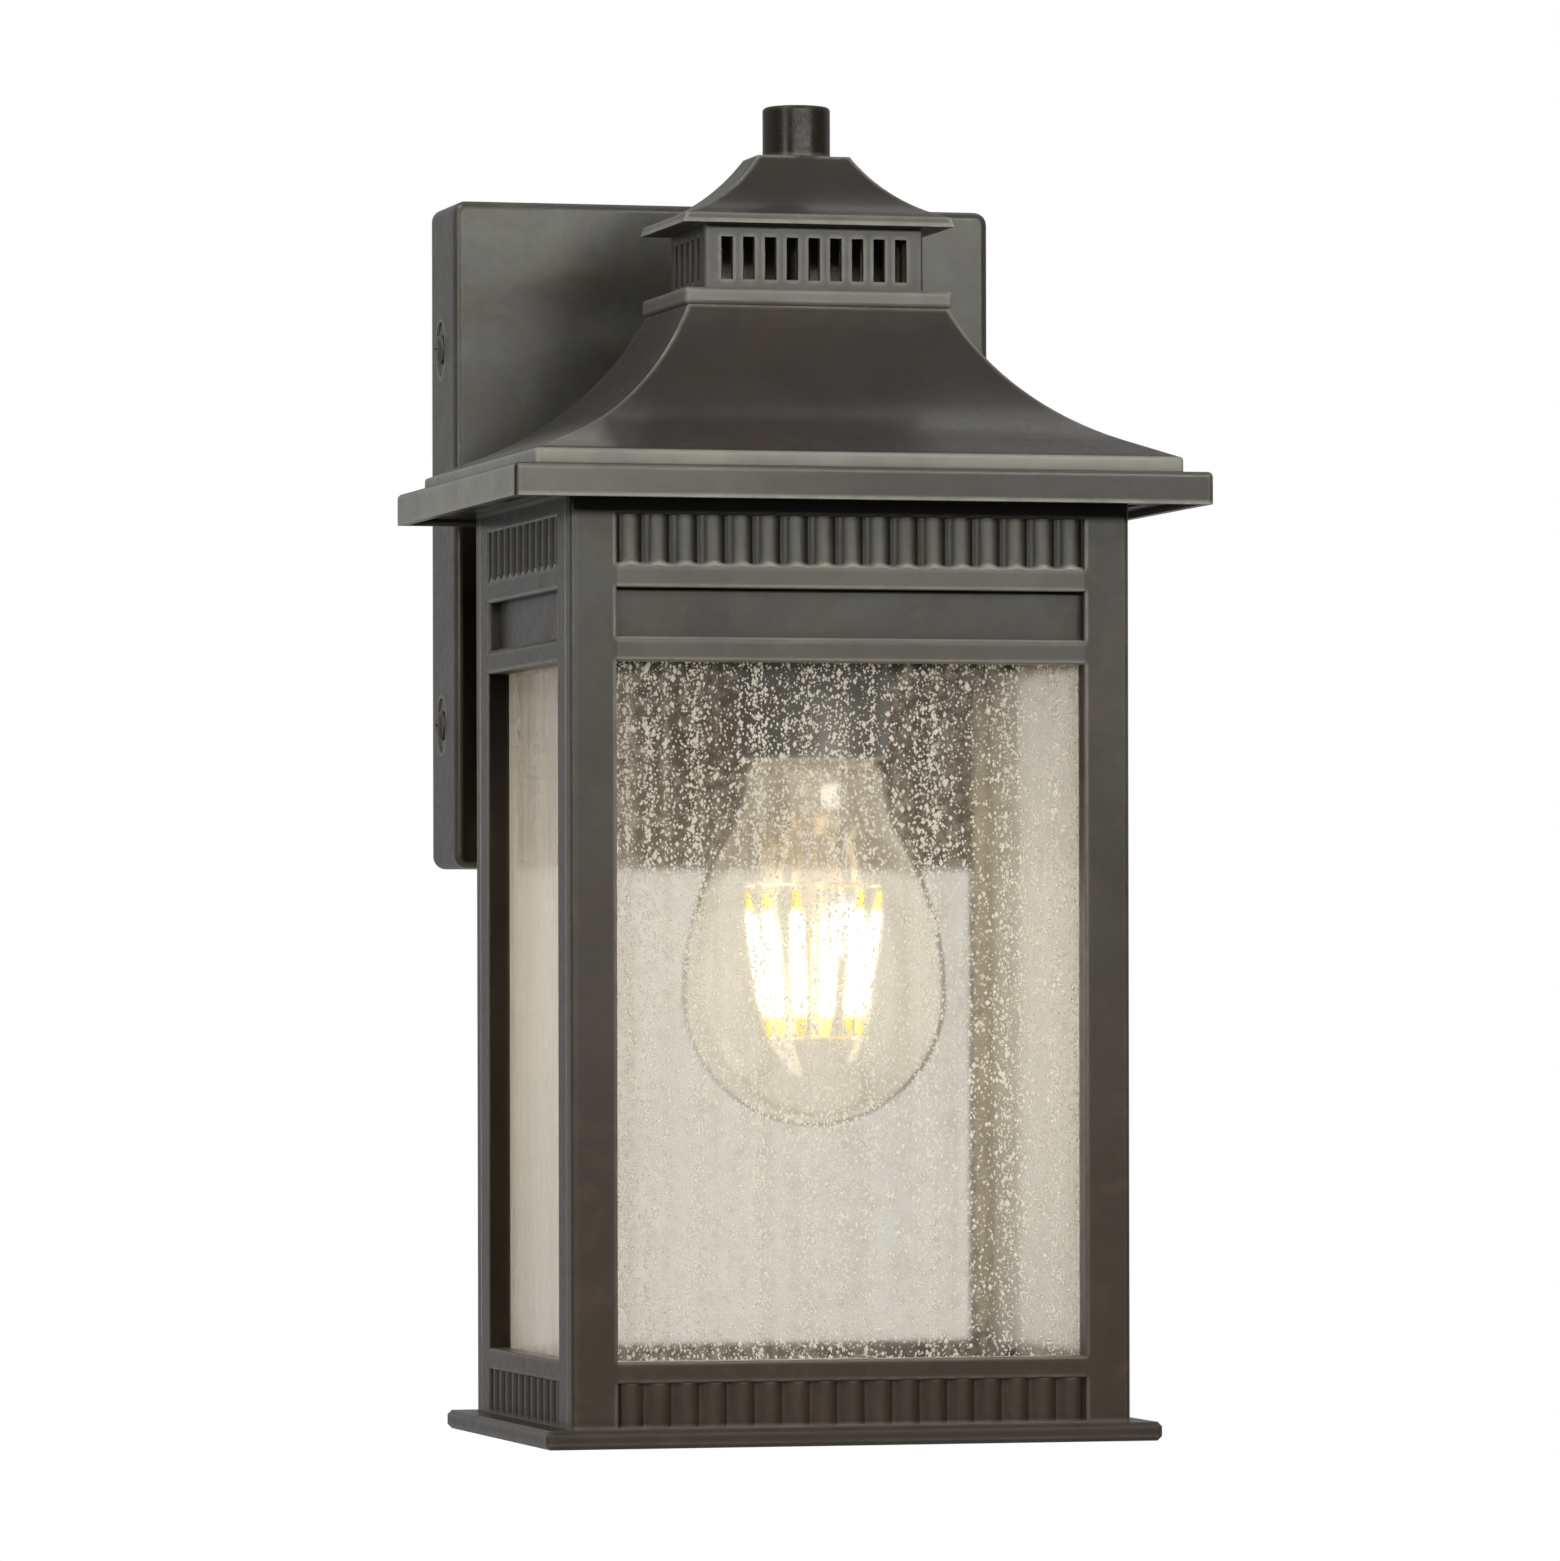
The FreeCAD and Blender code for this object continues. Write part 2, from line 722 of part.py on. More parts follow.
def arm_fixings():
    """Two bolts from the pan through the arm and the back panel, with nuts in the cage."""
    toward_wall = FreeCAD.Vector(0, 1, 0)
    grip = "plate_inner_face - panel_inner_face + bolt_nut_height + bolt_end"
    bolt = screw("bolt_head_radius", "bolt_head_height", "bolt_radius", grip)
    sides = ("-bolt_spacing / 2", "bolt_spacing / 2")
    group("arm_bolts", bolt, [spot(x, "plate_inner_face", "arm_level", toward_wall) for x in sides])
    form = nut("bolt_nut_radius", "bolt_nut_height", "bolt_radius + fit_clearance")
    outward = FreeCAD.Vector(0, -1, 0)
    group("arm_nuts", form, [spot(x, "panel_inner_face", "arm_level", outward) for x in sides])


def lead_bushing():
    """A flanged ring that keeps the leads off the back panel's edge."""
    body = new_body("lead_bushing", y="panel_inner_face", z="arm_level")
    outer = "wire_bore_radius - fit_clearance"
    ring = circle(sketch_on(body, "XZ_Plane", "-panel_wall"), outer)
    pad(body, ring, "panel_wall")
    pad(body, circle(sketch_on(body, "XZ_Plane"), "wire_bore_radius + bushing_lip"), "bushing_flange")
    pocket(body, circle(sketch_on(body, "XZ_Plane"), f"{outer} - bushing_wall"), symmetric=True)


# Cage

def reed(body, middle, foot, height):
    """One upright reed that stands on the floor of a frieze, rounded towards the front."""
    floor, root = "frieze_recess", "frieze_recess + reed_root"
    crown = middle, "frieze_recess - reed_rise"
    radius = "(reed_width * reed_width / 4 + reed_rise * reed_rise) / (2 * reed_rise)"
    left, right = f"{middle} - reed_width / 2", f"{middle} + reed_width / 2"
    corners = [(left, root), (right, root), (right, floor), (left, floor)]
    section = outline(sketch_on(body, "XY_Plane", foot), corners, {2: (crown, radius)})
    return pad(body, section, height), section


def panel(label, width, opening, reeds, rounded, plain_top, x, y, turn):
    """A cage panel, built facing the front: a frame round a window, a blank field and reeded friezes."""
    body = new_body(label, x=x, y=y, turn=turn)
    slab = sketch_on(body, "XZ_Plane")
    rectangle(slab, width, "cage_height", "0", "soffit_level - cage_height / 2")
    pad(body, slab, "panel_wall", along=False)
    front = sketch_on(body, "XZ_Plane")
    rectangle(front, opening, "window_top - window_foot", "0", "(window_top + window_foot) / 2")
    pocket(body, front)
    friezes = [("low_frieze_foot", "low_frieze_height")]
    if not plain_top:
        friezes.append(("frieze_foot", "frieze_height"))
        field = sketch_on(body, "XZ_Plane")
        rectangle(field, opening, "blank_height", "0", "(blank_top + blank_foot) / 2")
        pocket(body, field, "blank_recess")
    floors = sketch_on(body, "XZ_Plane")
    for foot, height in friezes:
        rectangle(floors, opening, height, "0", f"{foot} + {height} / 2")
    pocket(body, floors, "frieze_recess")
    half, high, low = value(width) / 2, value("soffit_level"), value("low_frieze_foot")

    def opening_edge(edge):
        box = edge.BoundBox
        inside = abs(box.Center.x) < half - 0.1 and low + 0.1 < box.Center.z < high - 0.1
        return inside and abs(box.YMin) + abs(box.YMax) < 1e-4

    dress(body, "Fillet", "opening_edge_radius", opening_edge)
    if rounded:
        outer = lambda edge: abs(edge.BoundBox.XMin) > half - 1e-4 and edge.BoundBox.YMax < 1e-4
        dress(body, "Fillet", "cage_corner_radius", lambda edge: upright(edge) and outer(edge))
    if not plain_top:
        sills = sketch_on(body, "YZ_Plane")
        for foot in ("frieze_foot", "blank_foot"):
            outline(sills, [("0", foot), ("sill_bevel", foot), ("0", f"{foot} - sill_bevel")])
        pocket(body, sills, opening, symmetric=True)
    run = f"({opening}) * ({reeds} - 1) / {reeds}"
    raised = [reed(body, f"-{run} / 2", foot, height) for foot, height in friezes]
    features = [feature for feature, _ in raised]
    pattern(body, features, raised[0][1], "H_Axis", run, reeds)
    for height, up in (("cage_floor", True), ("soffit_level", False)):
        pilots = sketch_on(body, "XY_Plane", height)
        for side in ("-", ""):
            across = f"{side}({width} / 2 - screw_inset)"
            circle(pilots, "screw_radius + fit_clearance", across, "panel_wall / 2")
        pocket(body, pilots, "screw_bite", along=up)
    return body


def cage():
    """Four panels: front and back span the corners, and the sides stand between them."""
    wide = "cage_width", "front_opening", "front_reeds", True
    panel("front_panel", *wide, False, "0", "front_face", 0.0)
    side = "side_panel_width", "side_opening", "side_reeds", False, False
    panel("left_panel", *side, "-cage_width / 2", "-axis_reach", -90.0)
    panel("right_panel", *side, "cage_width / 2", "-axis_reach", 90.0)
    back = panel("back_panel", *wide, True, "0", "back_face", 180.0)
    pocket(back, arm_holes(sketch_on(back, "XZ_Plane")), symmetric=True)


def pane(label, width, x, y, turn):
    """A pane of glass that lies on the back of its panel, with ground edges."""
    body = new_body(label, x=x, y=y, turn=turn)
    face = sketch_on(body, "XZ_Plane", "-panel_wall")
    rectangle(face, width, "pane_top - pane_foot", "0", "(pane_top + pane_foot) / 2")
    pad(body, face, "glass_thickness", along=False)
    dress(body, "Chamfer", "glass_edge", lambda edge: edge.BoundBox.YLength < 1e-4)


def glazing():
    """Four panes, and the clips above and below each that hold it to its panel."""
    pane("front_glass", "front_pane_width", "0", "front_face", 0.0)
    pane("left_glass", "side_pane_width", "-cage_width / 2", "-axis_reach", -90.0)
    pane("right_glass", "side_pane_width", "cage_width / 2", "-axis_reach", 90.0)
    pane("back_glass", "front_pane_width", "0", "back_face", 180.0)
    form = new_body("clip_form", y="0", keep=False)
    reach = "glass_thickness + clip_play"
    profile = [
        ("0", "clip_play"), (reach, "clip_play"), (reach, "-clip_lap"), (f"{reach} + clip_wall", "-clip_lap"),
        (f"{reach} + clip_wall", "clip_play + clip_wall"), ("clip_wall", "clip_play + clip_wall"),
        ("clip_wall", "clip_play + clip_foot"), ("0", "clip_play + clip_foot"),
    ]
    pad(form, outline(sketch_on(form, "YZ_Plane"), profile), "clip_width", symmetric=True)
    sides = (
        ("0", "front_face", 0.0, "front_clip_spacing"), ("0", "back_face", 180.0, "front_clip_spacing"),
        ("-cage_width / 2", "-axis_reach", -90.0, "side_clip_spacing"),
        ("cage_width / 2", "-axis_reach", 90.0, "side_clip_spacing"),
    )
    flipped = FreeCAD.Rotation(FreeCAD.Vector(0, 1, 0), 180)
    spots = []
    for x, y, turn, spacing in sides:
        wall = FreeCAD.Placement(point(x, y, "0"), FreeCAD.Rotation(UPWARD, turn))
        for across in (f"-{spacing} / 2", f"{spacing} / 2"):
            above = FreeCAD.Placement(point(across, "panel_wall", "pane_top"), FreeCAD.Rotation())
            below = FreeCAD.Placement(point(across, "panel_wall", "pane_foot"), flipped)
            spots += [wall.multiply(above), wall.multiply(below)]
    group("glass_clips", form, spots)


def edge_screw_places():
    """Where the screws enter the panels' edges, about the lantern's axis."""
    across, along = "(cage_width / 2 - screw_inset)", "(cage_depth / 2 - panel_wall / 2)"
    side_across, side_along = "(cage_width / 2 - panel_wall / 2)", "(side_panel_width / 2 - screw_inset)"
    signs = [(a, b) for a in ("-", "") for b in ("-", "")]
    return [(a + x, b + y) for x, y in ((across, along), (side_across, side_along)) for a, b in signs]


def base_plate():
    """The bevelled frame under the cage, open in the middle, with counterbored screw holes."""
    body = new_body("base_plate")
    pad(body, rectangle(sketch_on(body, "XY_Plane", "base_foot"), "base_width", "base_depth"), "base_wall")
    dress(body, "Fillet", "base_corner_radius", upright)
    dress(body, "Chamfer", "base_bevel", lambda edge: edge.BoundBox.ZLength < 1e-4)
    opening = "cage_width - 2 * (panel_wall + base_ledge)", "cage_depth - 2 * (panel_wall + base_ledge)"
    pocket(body, rectangle(sketch_on(body, "XY_Plane", "cage_floor"), *opening))
    reach = value("cage_width") / 2 - value("panel_wall")
    inner = lambda edge: upright(edge) and abs(edge.BoundBox.XMin) < reach
    dress(body, "Fillet", "base_opening_radius", inner)
    holes, sinks = sketch_on(body, "XY_Plane", "cage_floor"), sketch_on(body, "XY_Plane", "base_foot")
    for x, y in edge_screw_places():
        circle(holes, "screw_radius + fit_clearance", x, y)
        circle(sinks, "screw_head_radius + fit_clearance", x, y)
    pocket(body, holes)
    pocket(body, sinks, "screw_head_height + fit_clearance", along=True)


def panel_screws():
    """Screws up through the base plate and down through the soffit plate into the panels."""
    head = "screw_head_radius", "screw_head_height", "screw_radius"
    rise = "screw_bite - screw_spare"
    low = screw(*head, f"base_wall - screw_head_height - fit_clearance + {rise}")
    high = screw(*head, f"soffit_wall + {rise}")
    downward = FreeCAD.Vector(0, 0, -1)
    seat = "base_foot + screw_head_height + fit_clearance"
    places = edge_screw_places()
    group("base_screws", low, [spot(x, f"-axis_reach + ({y})", seat, downward) for x, y in places])
    group("top_screws", high, [spot(x, f"-axis_reach + ({y})", "soffit_top") for x, y in places])


# Roofs

def soffit_plate():
    """The plate under the roof that the panels hang from, with vent slots beside the cage."""
    body = new_body("soffit_plate")
    width, depth = (f"eave_{name} - 2 * roof_wall - 2 * soffit_play" for name in ("width", "depth"))
    pad(body, rectangle(sketch_on(body, "XY_Plane", "soffit_level"), width, depth), "soffit_wall")
    cuts = sketch_on(body, "XY_Plane", "soffit_level")
    circle(cuts, "rod_radius + rod_hole_clearance")
    for x, y in edge_screw_places():
        circle(cuts, "screw_radius + fit_clearance", x, y)
    for side in ("-", ""):
        circle(cuts, "screw_radius + fit_clearance", side + "(strap_half_span + strap_flange / 2)")
        for end in ("-", ""):
            middle = side + "(cage_width / 2 + vent_reach)", end + "vent_spread"
            rectangle(cuts, "vent_width", "vent_length", *middle)
    pocket(body, cuts, along=True)


def flare(body, kind, foot, top, levels, slopes, foot_run="0", wall="0"):
    """A hip roof on a rectangle: straight up from the foot, then hollowed in along an arc to the top.

    With a wall it is the same roof moved inward square to its slope. Both sides of the rectangle share one
    curve, stretched to their own run, so the hips are straight in plan.
    """
    run = f"(({foot[0]}) - ({top[0]})) / 2"
    rise = f"(({levels[1]}) - ({levels[0]}))"
    straight_out = f"(1 - ({foot_run}) / ({run}))"
    straight_up = f"(({foot_run}) * tan({slopes[0]}) / {rise})"
    stations = [(straight_out, straight_up, slopes[0])]
    for step in range(1, FLARE_STEPS + 1):
        slope = f"({slopes[0]} + ({slopes[1]} - {slopes[0]}) * {step} / {FLARE_STEPS})"
        out = f"{straight_out} * (sin({slopes[1]}) - sin({slope})) / (sin({slopes[1]}) - sin({slopes[0]}))"
        up = f"(cos({slopes[0]}) - cos({slope})) / (cos({slopes[0]}) - cos({slopes[1]}))"
        stations.append((out, f"({straight_up} + (1 - {straight_up}) * {up})", slope))

    def section(out, up, slope):
        lift = f"({levels[0]}) + {rise} * {up} - ({wall}) * cos({slope})"
        spans = [f"({b}) + (({a}) - ({b})) * {out} - 2 * ({wall}) * sin({slope})" for a, b in zip(foot, top)]
        return rectangle(sketch_on(body, "XY_Plane", lift), *spans)

    if value(foot_run) > 0:
        loft(body, kind, [section("1", "0", slopes[0]), section(*stations[0])], ruled=True)
    return loft(body, kind, [section(*station) for station in stations])


def main_roof():
    """The hollow roof: an eave band, a lip and the flare, with a ledge inside for the soffit plate."""
    body = new_body("main_roof")
    pad(body, rectangle(sketch_on(body, "XY_Plane", "eave_foot"), "eave_width", "eave_depth"), "eave_height")
    band_top = value("eave_top")
    dress(body, "Fillet", "eave_edge_radius", lambda edge: upright(edge) or level(edge, band_top))
    pad(body, rectangle(sketch_on(body, "XY_Plane", "eave_top"), "lip_width", "lip_depth"), "lip_height")
    lip_foot = value("eave_top")
    on_lip = lambda edge: upright(edge) and edge.BoundBox.ZMin > lip_foot - 1e-4
    dress(body, "Fillet", "lip_edge_radius", on_lip)
    lip_top = value("roof_foot")
    dress(body, "Fillet", "lip_edge_radius", lambda edge: level(edge, lip_top))
    inset = "2 * lip_edge_radius"
    foot = f"lip_width - {inset}", f"lip_depth - {inset}"
    top = "roof_top_width", "roof_top_depth"
    levels, slopes = ("roof_foot", "roof_top"), ("roof_foot_slope", "roof_top_slope")
    flare(body, "AdditiveLoft", foot, top, levels, slopes, "roof_foot_run")
    rim = "eave_width - 2 * roof_wall", "eave_depth - 2 * roof_wall"
    ledge = rectangle(sketch_on(body, "XY_Plane", "eave_foot"), *rim)
    pocket(body, ledge, "soffit_top - eave_foot", along=True)
    inner = [f"{span} - 2 * roof_wall * sin(roof_foot_slope)" for span in foot]
    loft_foot = "roof_foot - roof_wall * cos(roof_foot_slope)"
    well = rectangle(sketch_on(body, "XY_Plane", "soffit_top"), *inner)
    pocket(body, well, f"{loft_foot} - soffit_top", along=True)
    flare(body, "SubtractiveLoft", foot, top, levels, slopes, "roof_foot_run", "roof_wall")
    hole = "roof_top_width - 2 * roof_hole_ledge", "roof_top_depth - 2 * roof_hole_ledge"
    pocket(body, rectangle(sketch_on(body, "XY_Plane", "roof_top"), *hole), "2 * roof_wall")


def cupola():
    """The collar and the louvred vent box above the roof, with flues through its floor."""
    body = new_body("cupola")
    collar = rectangle(sketch_on(body, "XY_Plane", "roof_top"), "collar_width", "collar_depth")
    pad(body, collar, "collar_height")
    dress(body, "Fillet", "collar_edge_radius", upright)
    dress(body, "Fillet", "collar_edge_radius", lambda edge: edge.BoundBox.ZLength < 1e-4)
    box = rectangle(sketch_on(body, "XY_Plane", "collar_top"), "louvre_width", "louvre_depth")
    pad(body, box, "louvre_height")
    base = value("collar_top")
    dress(body, "Fillet", "louvre_corner_radius", lambda e: upright(e) and e.BoundBox.ZMin > base - 1e-4)
    room = "louvre_width - 2 * louvre_wall", "louvre_depth - 2 * louvre_wall"
    chamber = rectangle(sketch_on(body, "XY_Plane", "louvre_top"), *room)
    pocket(body, chamber, "louvre_height + collar_height - cupola_floor")
    for role, count in (("XZ_Plane", "front_slots"), ("YZ_Plane", "side_slots")):
        run = f"slot_pitch * ({count} - 1)"
        first = sketch_on(body, role)
        middle = f"-{run} / 2", "collar_top + slot_rise + slot_height / 2"
        rectangle(first, "slot_width", "slot_height", *middle)
        pattern(body, [pocket(body, first, symmetric=True)], first, "H_Axis", run, count)
    flues = sketch_on(body, "XY_Plane", "roof_top")
    circle(flues, "rod_radius + rod_hole_clearance")
    circle(flues, "flue_radius", "-flue_reach")
    circle(flues, "flue_radius", "flue_reach")
    pocket(body, flues, "cupola_floor", along=True)


def cap_roof():
    """The small solid roof on the cupola, hollowed a little underneath to sit over the louvre box."""
    body = new_body("cap_roof")
    foot = "cap_width", "cap_depth"
    eave = [f"{span} - 2 * cap_fascia_cant" for span in foot]
    fascia = [rectangle(sketch_on(body, "XY_Plane", "cap_foot"), *foot)]
    fascia.append(rectangle(sketch_on(body, "XY_Plane", "cap_eave"), *eave))
    loft(body, "AdditiveLoft", fascia, ruled=True)
    top = "cap_top_width", "cap_top_depth"
    flare(body, "AdditiveLoft", eave, top, ("cap_eave", "cap_top"), ("cap_foot_slope", "cap_top_slope"))
    recess = "louvre_width + 2 * rod_hole_clearance", "louvre_depth + 2 * rod_hole_clearance"
    pocket(body, rectangle(sketch_on(body, "XY_Plane", "cap_foot"), *recess), "cap_rim_drop", along=True)
    pocket(body, circle(sketch_on(body, "XY_Plane", "cap_top"), "rod_radius + rod_hole_clearance"))


def finial():
    """The round nut on top, with a blind bore on the rod."""
    body = new_body("finial", z="cap_top")
    bore, high = "rod_radius + running_clearance", "finial_bore_depth"
    turn_in = "finial_radius - finial_edge_radius"
    turn_up = "finial_height - finial_edge_radius"
    slant = "finial_edge_radius * sqrt(0.5)"
    corners = [
        (bore, "0"), ("finial_radius", "0"), ("finial_radius", turn_up), (turn_in, "finial_height"),
        ("0", "finial_height"), ("0", high), (bore, high),
    ]
    rounding = (f"{turn_in} + {slant}", f"{turn_up} + {slant}"), "finial_edge_radius"
    revolve(body, outline(sketch_on(body, "XZ_Plane"), corners, {2: rounding}))


def roof_rod():
    """The rod from under the soffit plate into the finial, and its two nuts."""
    rise = "cap_top + finial_bore_depth - rod_end_gap"
    rod = primitive("Cylinder", Radius="rod_radius", Height=f"{rise} - soffit_level + rod_tail")
    rod.Label = "roof_rod"
    place(rod, y="-axis_reach", z="soffit_level - rod_tail")
    pieces.append(rod)
    form = nut("nut_radius", "nut_height", "rod_radius + fit_clearance")
    levels = ("soffit_top", "soffit_level - nut_height")
    group("rod_nuts", form, [spot("0", "-axis_reach", z) for z in levels])


# Socket and lamp

def socket_bracket():
    """A hat-shaped strap that hangs the socket under the soffit plate."""
    body = new_body("socket_bracket")
    outer, inner = "(strap_half_span + strap_flange)", "strap_half_span"
    leg = "(strap_half_span + strap_wall)"
    flange = "soffit_level - strap_wall"
    right = [
        (leg, "cup_top"), (leg, flange), (outer, flange), (outer, "soffit_level"),
        (inner, "soffit_level"), (inner, "strap_top"),
    ]
    left = [("-" + x, z) for x, z in reversed(right)]
    pad(body, outline(sketch_on(body, "XZ_Plane"), right + left), "strap_depth", symmetric=True)
    holes = sketch_on(body, "XY_Plane", "cup_top")
    for side in ("-", ""):
        circle(holes, "screw_radius + fit_clearance", side + "(strap_half_span + strap_flange / 2)")
        circle(holes, "screw_radius + fit_clearance", f"socket_offset + {side}boss_spacing / 2")
    pocket(body, holes, along=True)


def socket_screws():
    """Screws that hold the strap to the soffit plate, and the cup and porcelain to the strap."""
    head = "screw_head_radius", "screw_head_height", "screw_radius"
    upper = screw(*head, "strap_wall + soffit_wall + screw_spare")
    reach = "(strap_half_span + strap_flange / 2)"
    downward = FreeCAD.Vector(0, 0, -1)
    seat = "soffit_level - strap_wall"
    group("bracket_screws", upper, [spot(side + reach, "-axis_reach", seat, downward) for side in ("-", "")])
    lower = screw(*head, "strap_wall + cup_wall + screw_bite")
    places = [f"socket_offset + {side}boss_spacing / 2" for side in ("-", "")]
    group("socket_screws", lower, [spot(x, "-axis_reach", "strap_top") for x in places])


def socket_cup():
    """The deep metal cup round the porcelain, with a side hole for the leads."""
    body = new_body("socket_cup", x="socket_offset")
    outer, inner = "cup_radius", "cup_radius - cup_wall"
    shoulder = "cup_radius - cup_edge_radius", "cup_top"
    slant = "cup_edge_radius * sqrt(0.5)"
    crown = f"cup_radius - cup_edge_radius + {slant}", f"cup_top - cup_edge_radius + {slant}"
    corners = [
        ("0", "cup_top - cup_wall"), (inner, "cup_top - cup_wall"), (inner, "cup_foot"), (outer, "cup_foot"),
        (outer, "cup_top - cup_edge_radius"), shoulder, ("0", "cup_top"),
    ]
    revolve(body, outline(sketch_on(body, "XZ_Plane"), corners, {4: (crown, "cup_edge_radius")}))
    foot = value("cup_foot")
    dress(body, "Fillet", "cup_rim_radius", lambda edge: level(edge, foot))
    screws = sketch_on(body, "XY_Plane", "cup_top")
    circle(screws, "screw_radius + fit_clearance", "-boss_spacing / 2")
    circle(screws, "screw_radius + fit_clearance", "boss_spacing / 2")
    pocket(body, screws, "2 * cup_wall")
    leads = sketch_on(body, "XZ_Plane")
    for side in ("-", ""):
        across = f"{side}lead_spacing / 2 - socket_offset"
        circle(leads, "lead_radius + rod_hole_clearance", across, "arm_level")
    pocket(body, leads, along=False)


def socket_body():
    """The porcelain: a bored block with two bosses that stand up to the cup's roof."""
    body = new_body("socket_body", x="socket_offset")
    outer = "cup_radius - cup_wall - porcelain_play"
    bore = "shell_radius + shell_wall + shell_play"
    corners = [
        ("0", "porcelain_top"), (outer, "porcelain_top"), (outer, "porcelain_foot"),
        (bore, "porcelain_foot"), (bore, "bore_roof"), ("0", "bore_roof"),
    ]
    revolve(body, outline(sketch_on(body, "XZ_Plane"), corners))
    for radius, lift in (("boss_radius", "pad"), ("screw_radius + fit_clearance", "pocket")):
        sketch = sketch_on(body, "XY_Plane", "porcelain_top" if lift == "pad" else "cup_top - cup_wall")
        circle(sketch, radius, "-boss_spacing / 2")
        circle(sketch, radius, "boss_spacing / 2")
        if lift == "pad":
            pad(body, sketch, "chamber_depth - cup_wall")
        else:
            pocket(body, sketch, "screw_bite + fit_clearance")


def ring(label, inner, outer, low, high):
    """A plain ring about the socket's axis."""
    body = new_body(label, x="socket_offset")
    corners = [(inner, low), (outer, low), (outer, high), (inner, high)]
    revolve(body, outline(sketch_on(body, "XZ_Plane"), corners))
    return body


def socket_metal():
    """The screw shell, the centre contact and the two terminal posts."""
    ring("screw_shell", "shell_radius", "shell_radius + shell_wall", "porcelain_foot", "bore_roof")
    contact = primitive("Cylinder", Radius="contact_radius", Height="contact_height")
    contact.Label = "socket_contact"
    place(contact, "socket_offset", "-axis_reach", "bore_roof - contact_height")
    pieces.append(contact)
    post = primitive("Cylinder", Radius="post_radius", Height="arm_level + 2 * lead_radius - porcelain_top")
    doc.recompute()
    seat = "-axis_reach + post_reach", "porcelain_top"
    group("terminal_posts", post, [spot(side + "lead_spacing / 2", *seat) for side in ("-", "")])


def lamp_cap():
    """The lamp's metal cap, its insulator and its tip."""
    inner, outer = "lamp_cap_radius - lamp_cap_wall", "lamp_cap_radius"
    shelf = "tip_level - lamp_tip_height - lamp_insulator_height"
    ring("lamp_cap", inner, outer, "cap_rim", shelf)
    body = new_body("lamp_insulator", x="socket_offset")
    under = "tip_level - lamp_tip_height"
    corners = [("0", shelf), (outer, shelf), ("lamp_tip_radius + lamp_tip_ledge", under), ("0", under)]
    revolve(body, outline(sketch_on(body, "XZ_Plane"), corners))
    tip = primitive("Cylinder", Radius="lamp_tip_radius", Height="lamp_tip_height")
    tip.Label = "lamp_tip"
    place(tip, "socket_offset", "-axis_reach", under)
    pieces.append(tip)


def bulb_curve(inset):
    """Half of the bulb's outline, pole to cap, moved inward: a round end, long shoulders and a drawn neck."""
    radius, shoulder = value("bulb_radius"), value("bulb_shoulder_radius")
    centre, neck = value("bulb_level"), value("bulb_neck_radius")
    neck_level, cap_rim = value("cap_rim - bulb_neck_drop"), value("cap_rim")
    shift = shoulder - radius
    side, height = neck + shift, neck_level - centre
    throat = (height ** 2 + side ** 2 - shoulder ** 2) / (2 * (shoulder - side))
    lean = math.atan2(height, side + throat)

    def on_shoulder(angle):
        reach = shoulder - inset
        return FreeCAD.Vector(reach * math.cos(angle) - shift, 0, centre + reach * math.sin(angle))

    def on_throat(angle):
        reach = throat + inset
        across, up = reach * math.cos(angle), reach * math.sin(angle)
        return FreeCAD.Vector(neck + throat - across, 0, neck_level - up)

    pole = FreeCAD.Vector(0, 0, centre - radius + inset)
    low = FreeCAD.Vector((radius - inset) * math.sqrt(0.5), 0, centre - (radius - inset) * math.sqrt(0.5))
    mouth = FreeCAD.Vector(value("lamp_cap_radius") - inset, 0, cap_rim)
    shoulder_top = FreeCAD.Vector((neck + mouth.x - inset) / 2 + inset / 4, 0, (2 * cap_rim + neck_level) / 3)
    arcs = [
        (pole, low, on_shoulder(0)), (on_shoulder(0), on_shoulder(lean / 2), on_shoulder(lean)),
        (on_throat(lean), on_throat(lean / 2), on_throat(0)), (on_throat(0), shoulder_top, mouth),
    ]
    return [Part.Arc(*arc).toShape() for arc in arcs]


def bulb_glass():
    """The blown glass, one wall thick, open at the cap."""
    outer, inner = bulb_curve(0.0), bulb_curve(value("bulb_wall"))
    axis = Part.LineSegment(outer[0].firstVertex().Point, inner[0].firstVertex().Point).toShape()
    mouth = Part.LineSegment(outer[-1].lastVertex().Point, inner[-1].lastVertex().Point).toShape()
    wall = Part.Face(Part.Wire(Part.__sortEdges__(outer + [mouth] + inner + [axis])))
    piece = solid("bulb_glass", wall.revolve(ORIGIN, UPWARD, 360))
    place(piece, "socket_offset", "-axis_reach", "0")


def bulb_stem():
    """The glass stem inside the bulb, flared where it is sealed to the neck."""
    body = new_body("bulb_stem", x="socket_offset")
    rim = "lamp_cap_radius - bulb_wall - lamp_cap_wall"
    waist = "cap_rim - stem_flare_height"
    throat = f"({rim} - stem_radius)"
    bend = f"({throat} * {throat} + stem_flare_height * stem_flare_height) / (2 * {throat})"
    corners = [
        ("0", "stem_foot"), ("stem_radius", "stem_foot"), ("stem_radius", waist), (rim, "cap_rim"),
        ("0", "cap_rim"),
    ]
    inward = f"sqrt({bend} * {bend} - stem_flare_height * stem_flare_height / 4)"
    halfway = f"stem_radius + {bend} - {inward}", "cap_rim - stem_flare_height / 2"
    revolve(body, outline(sketch_on(body, "XZ_Plane"), corners, {2: (halfway, bend)}))


def bar(start, end, radius):
    """A round bar from one point to another."""
    return Part.makeCylinder(radius, (end - start).Length, start, end - start)


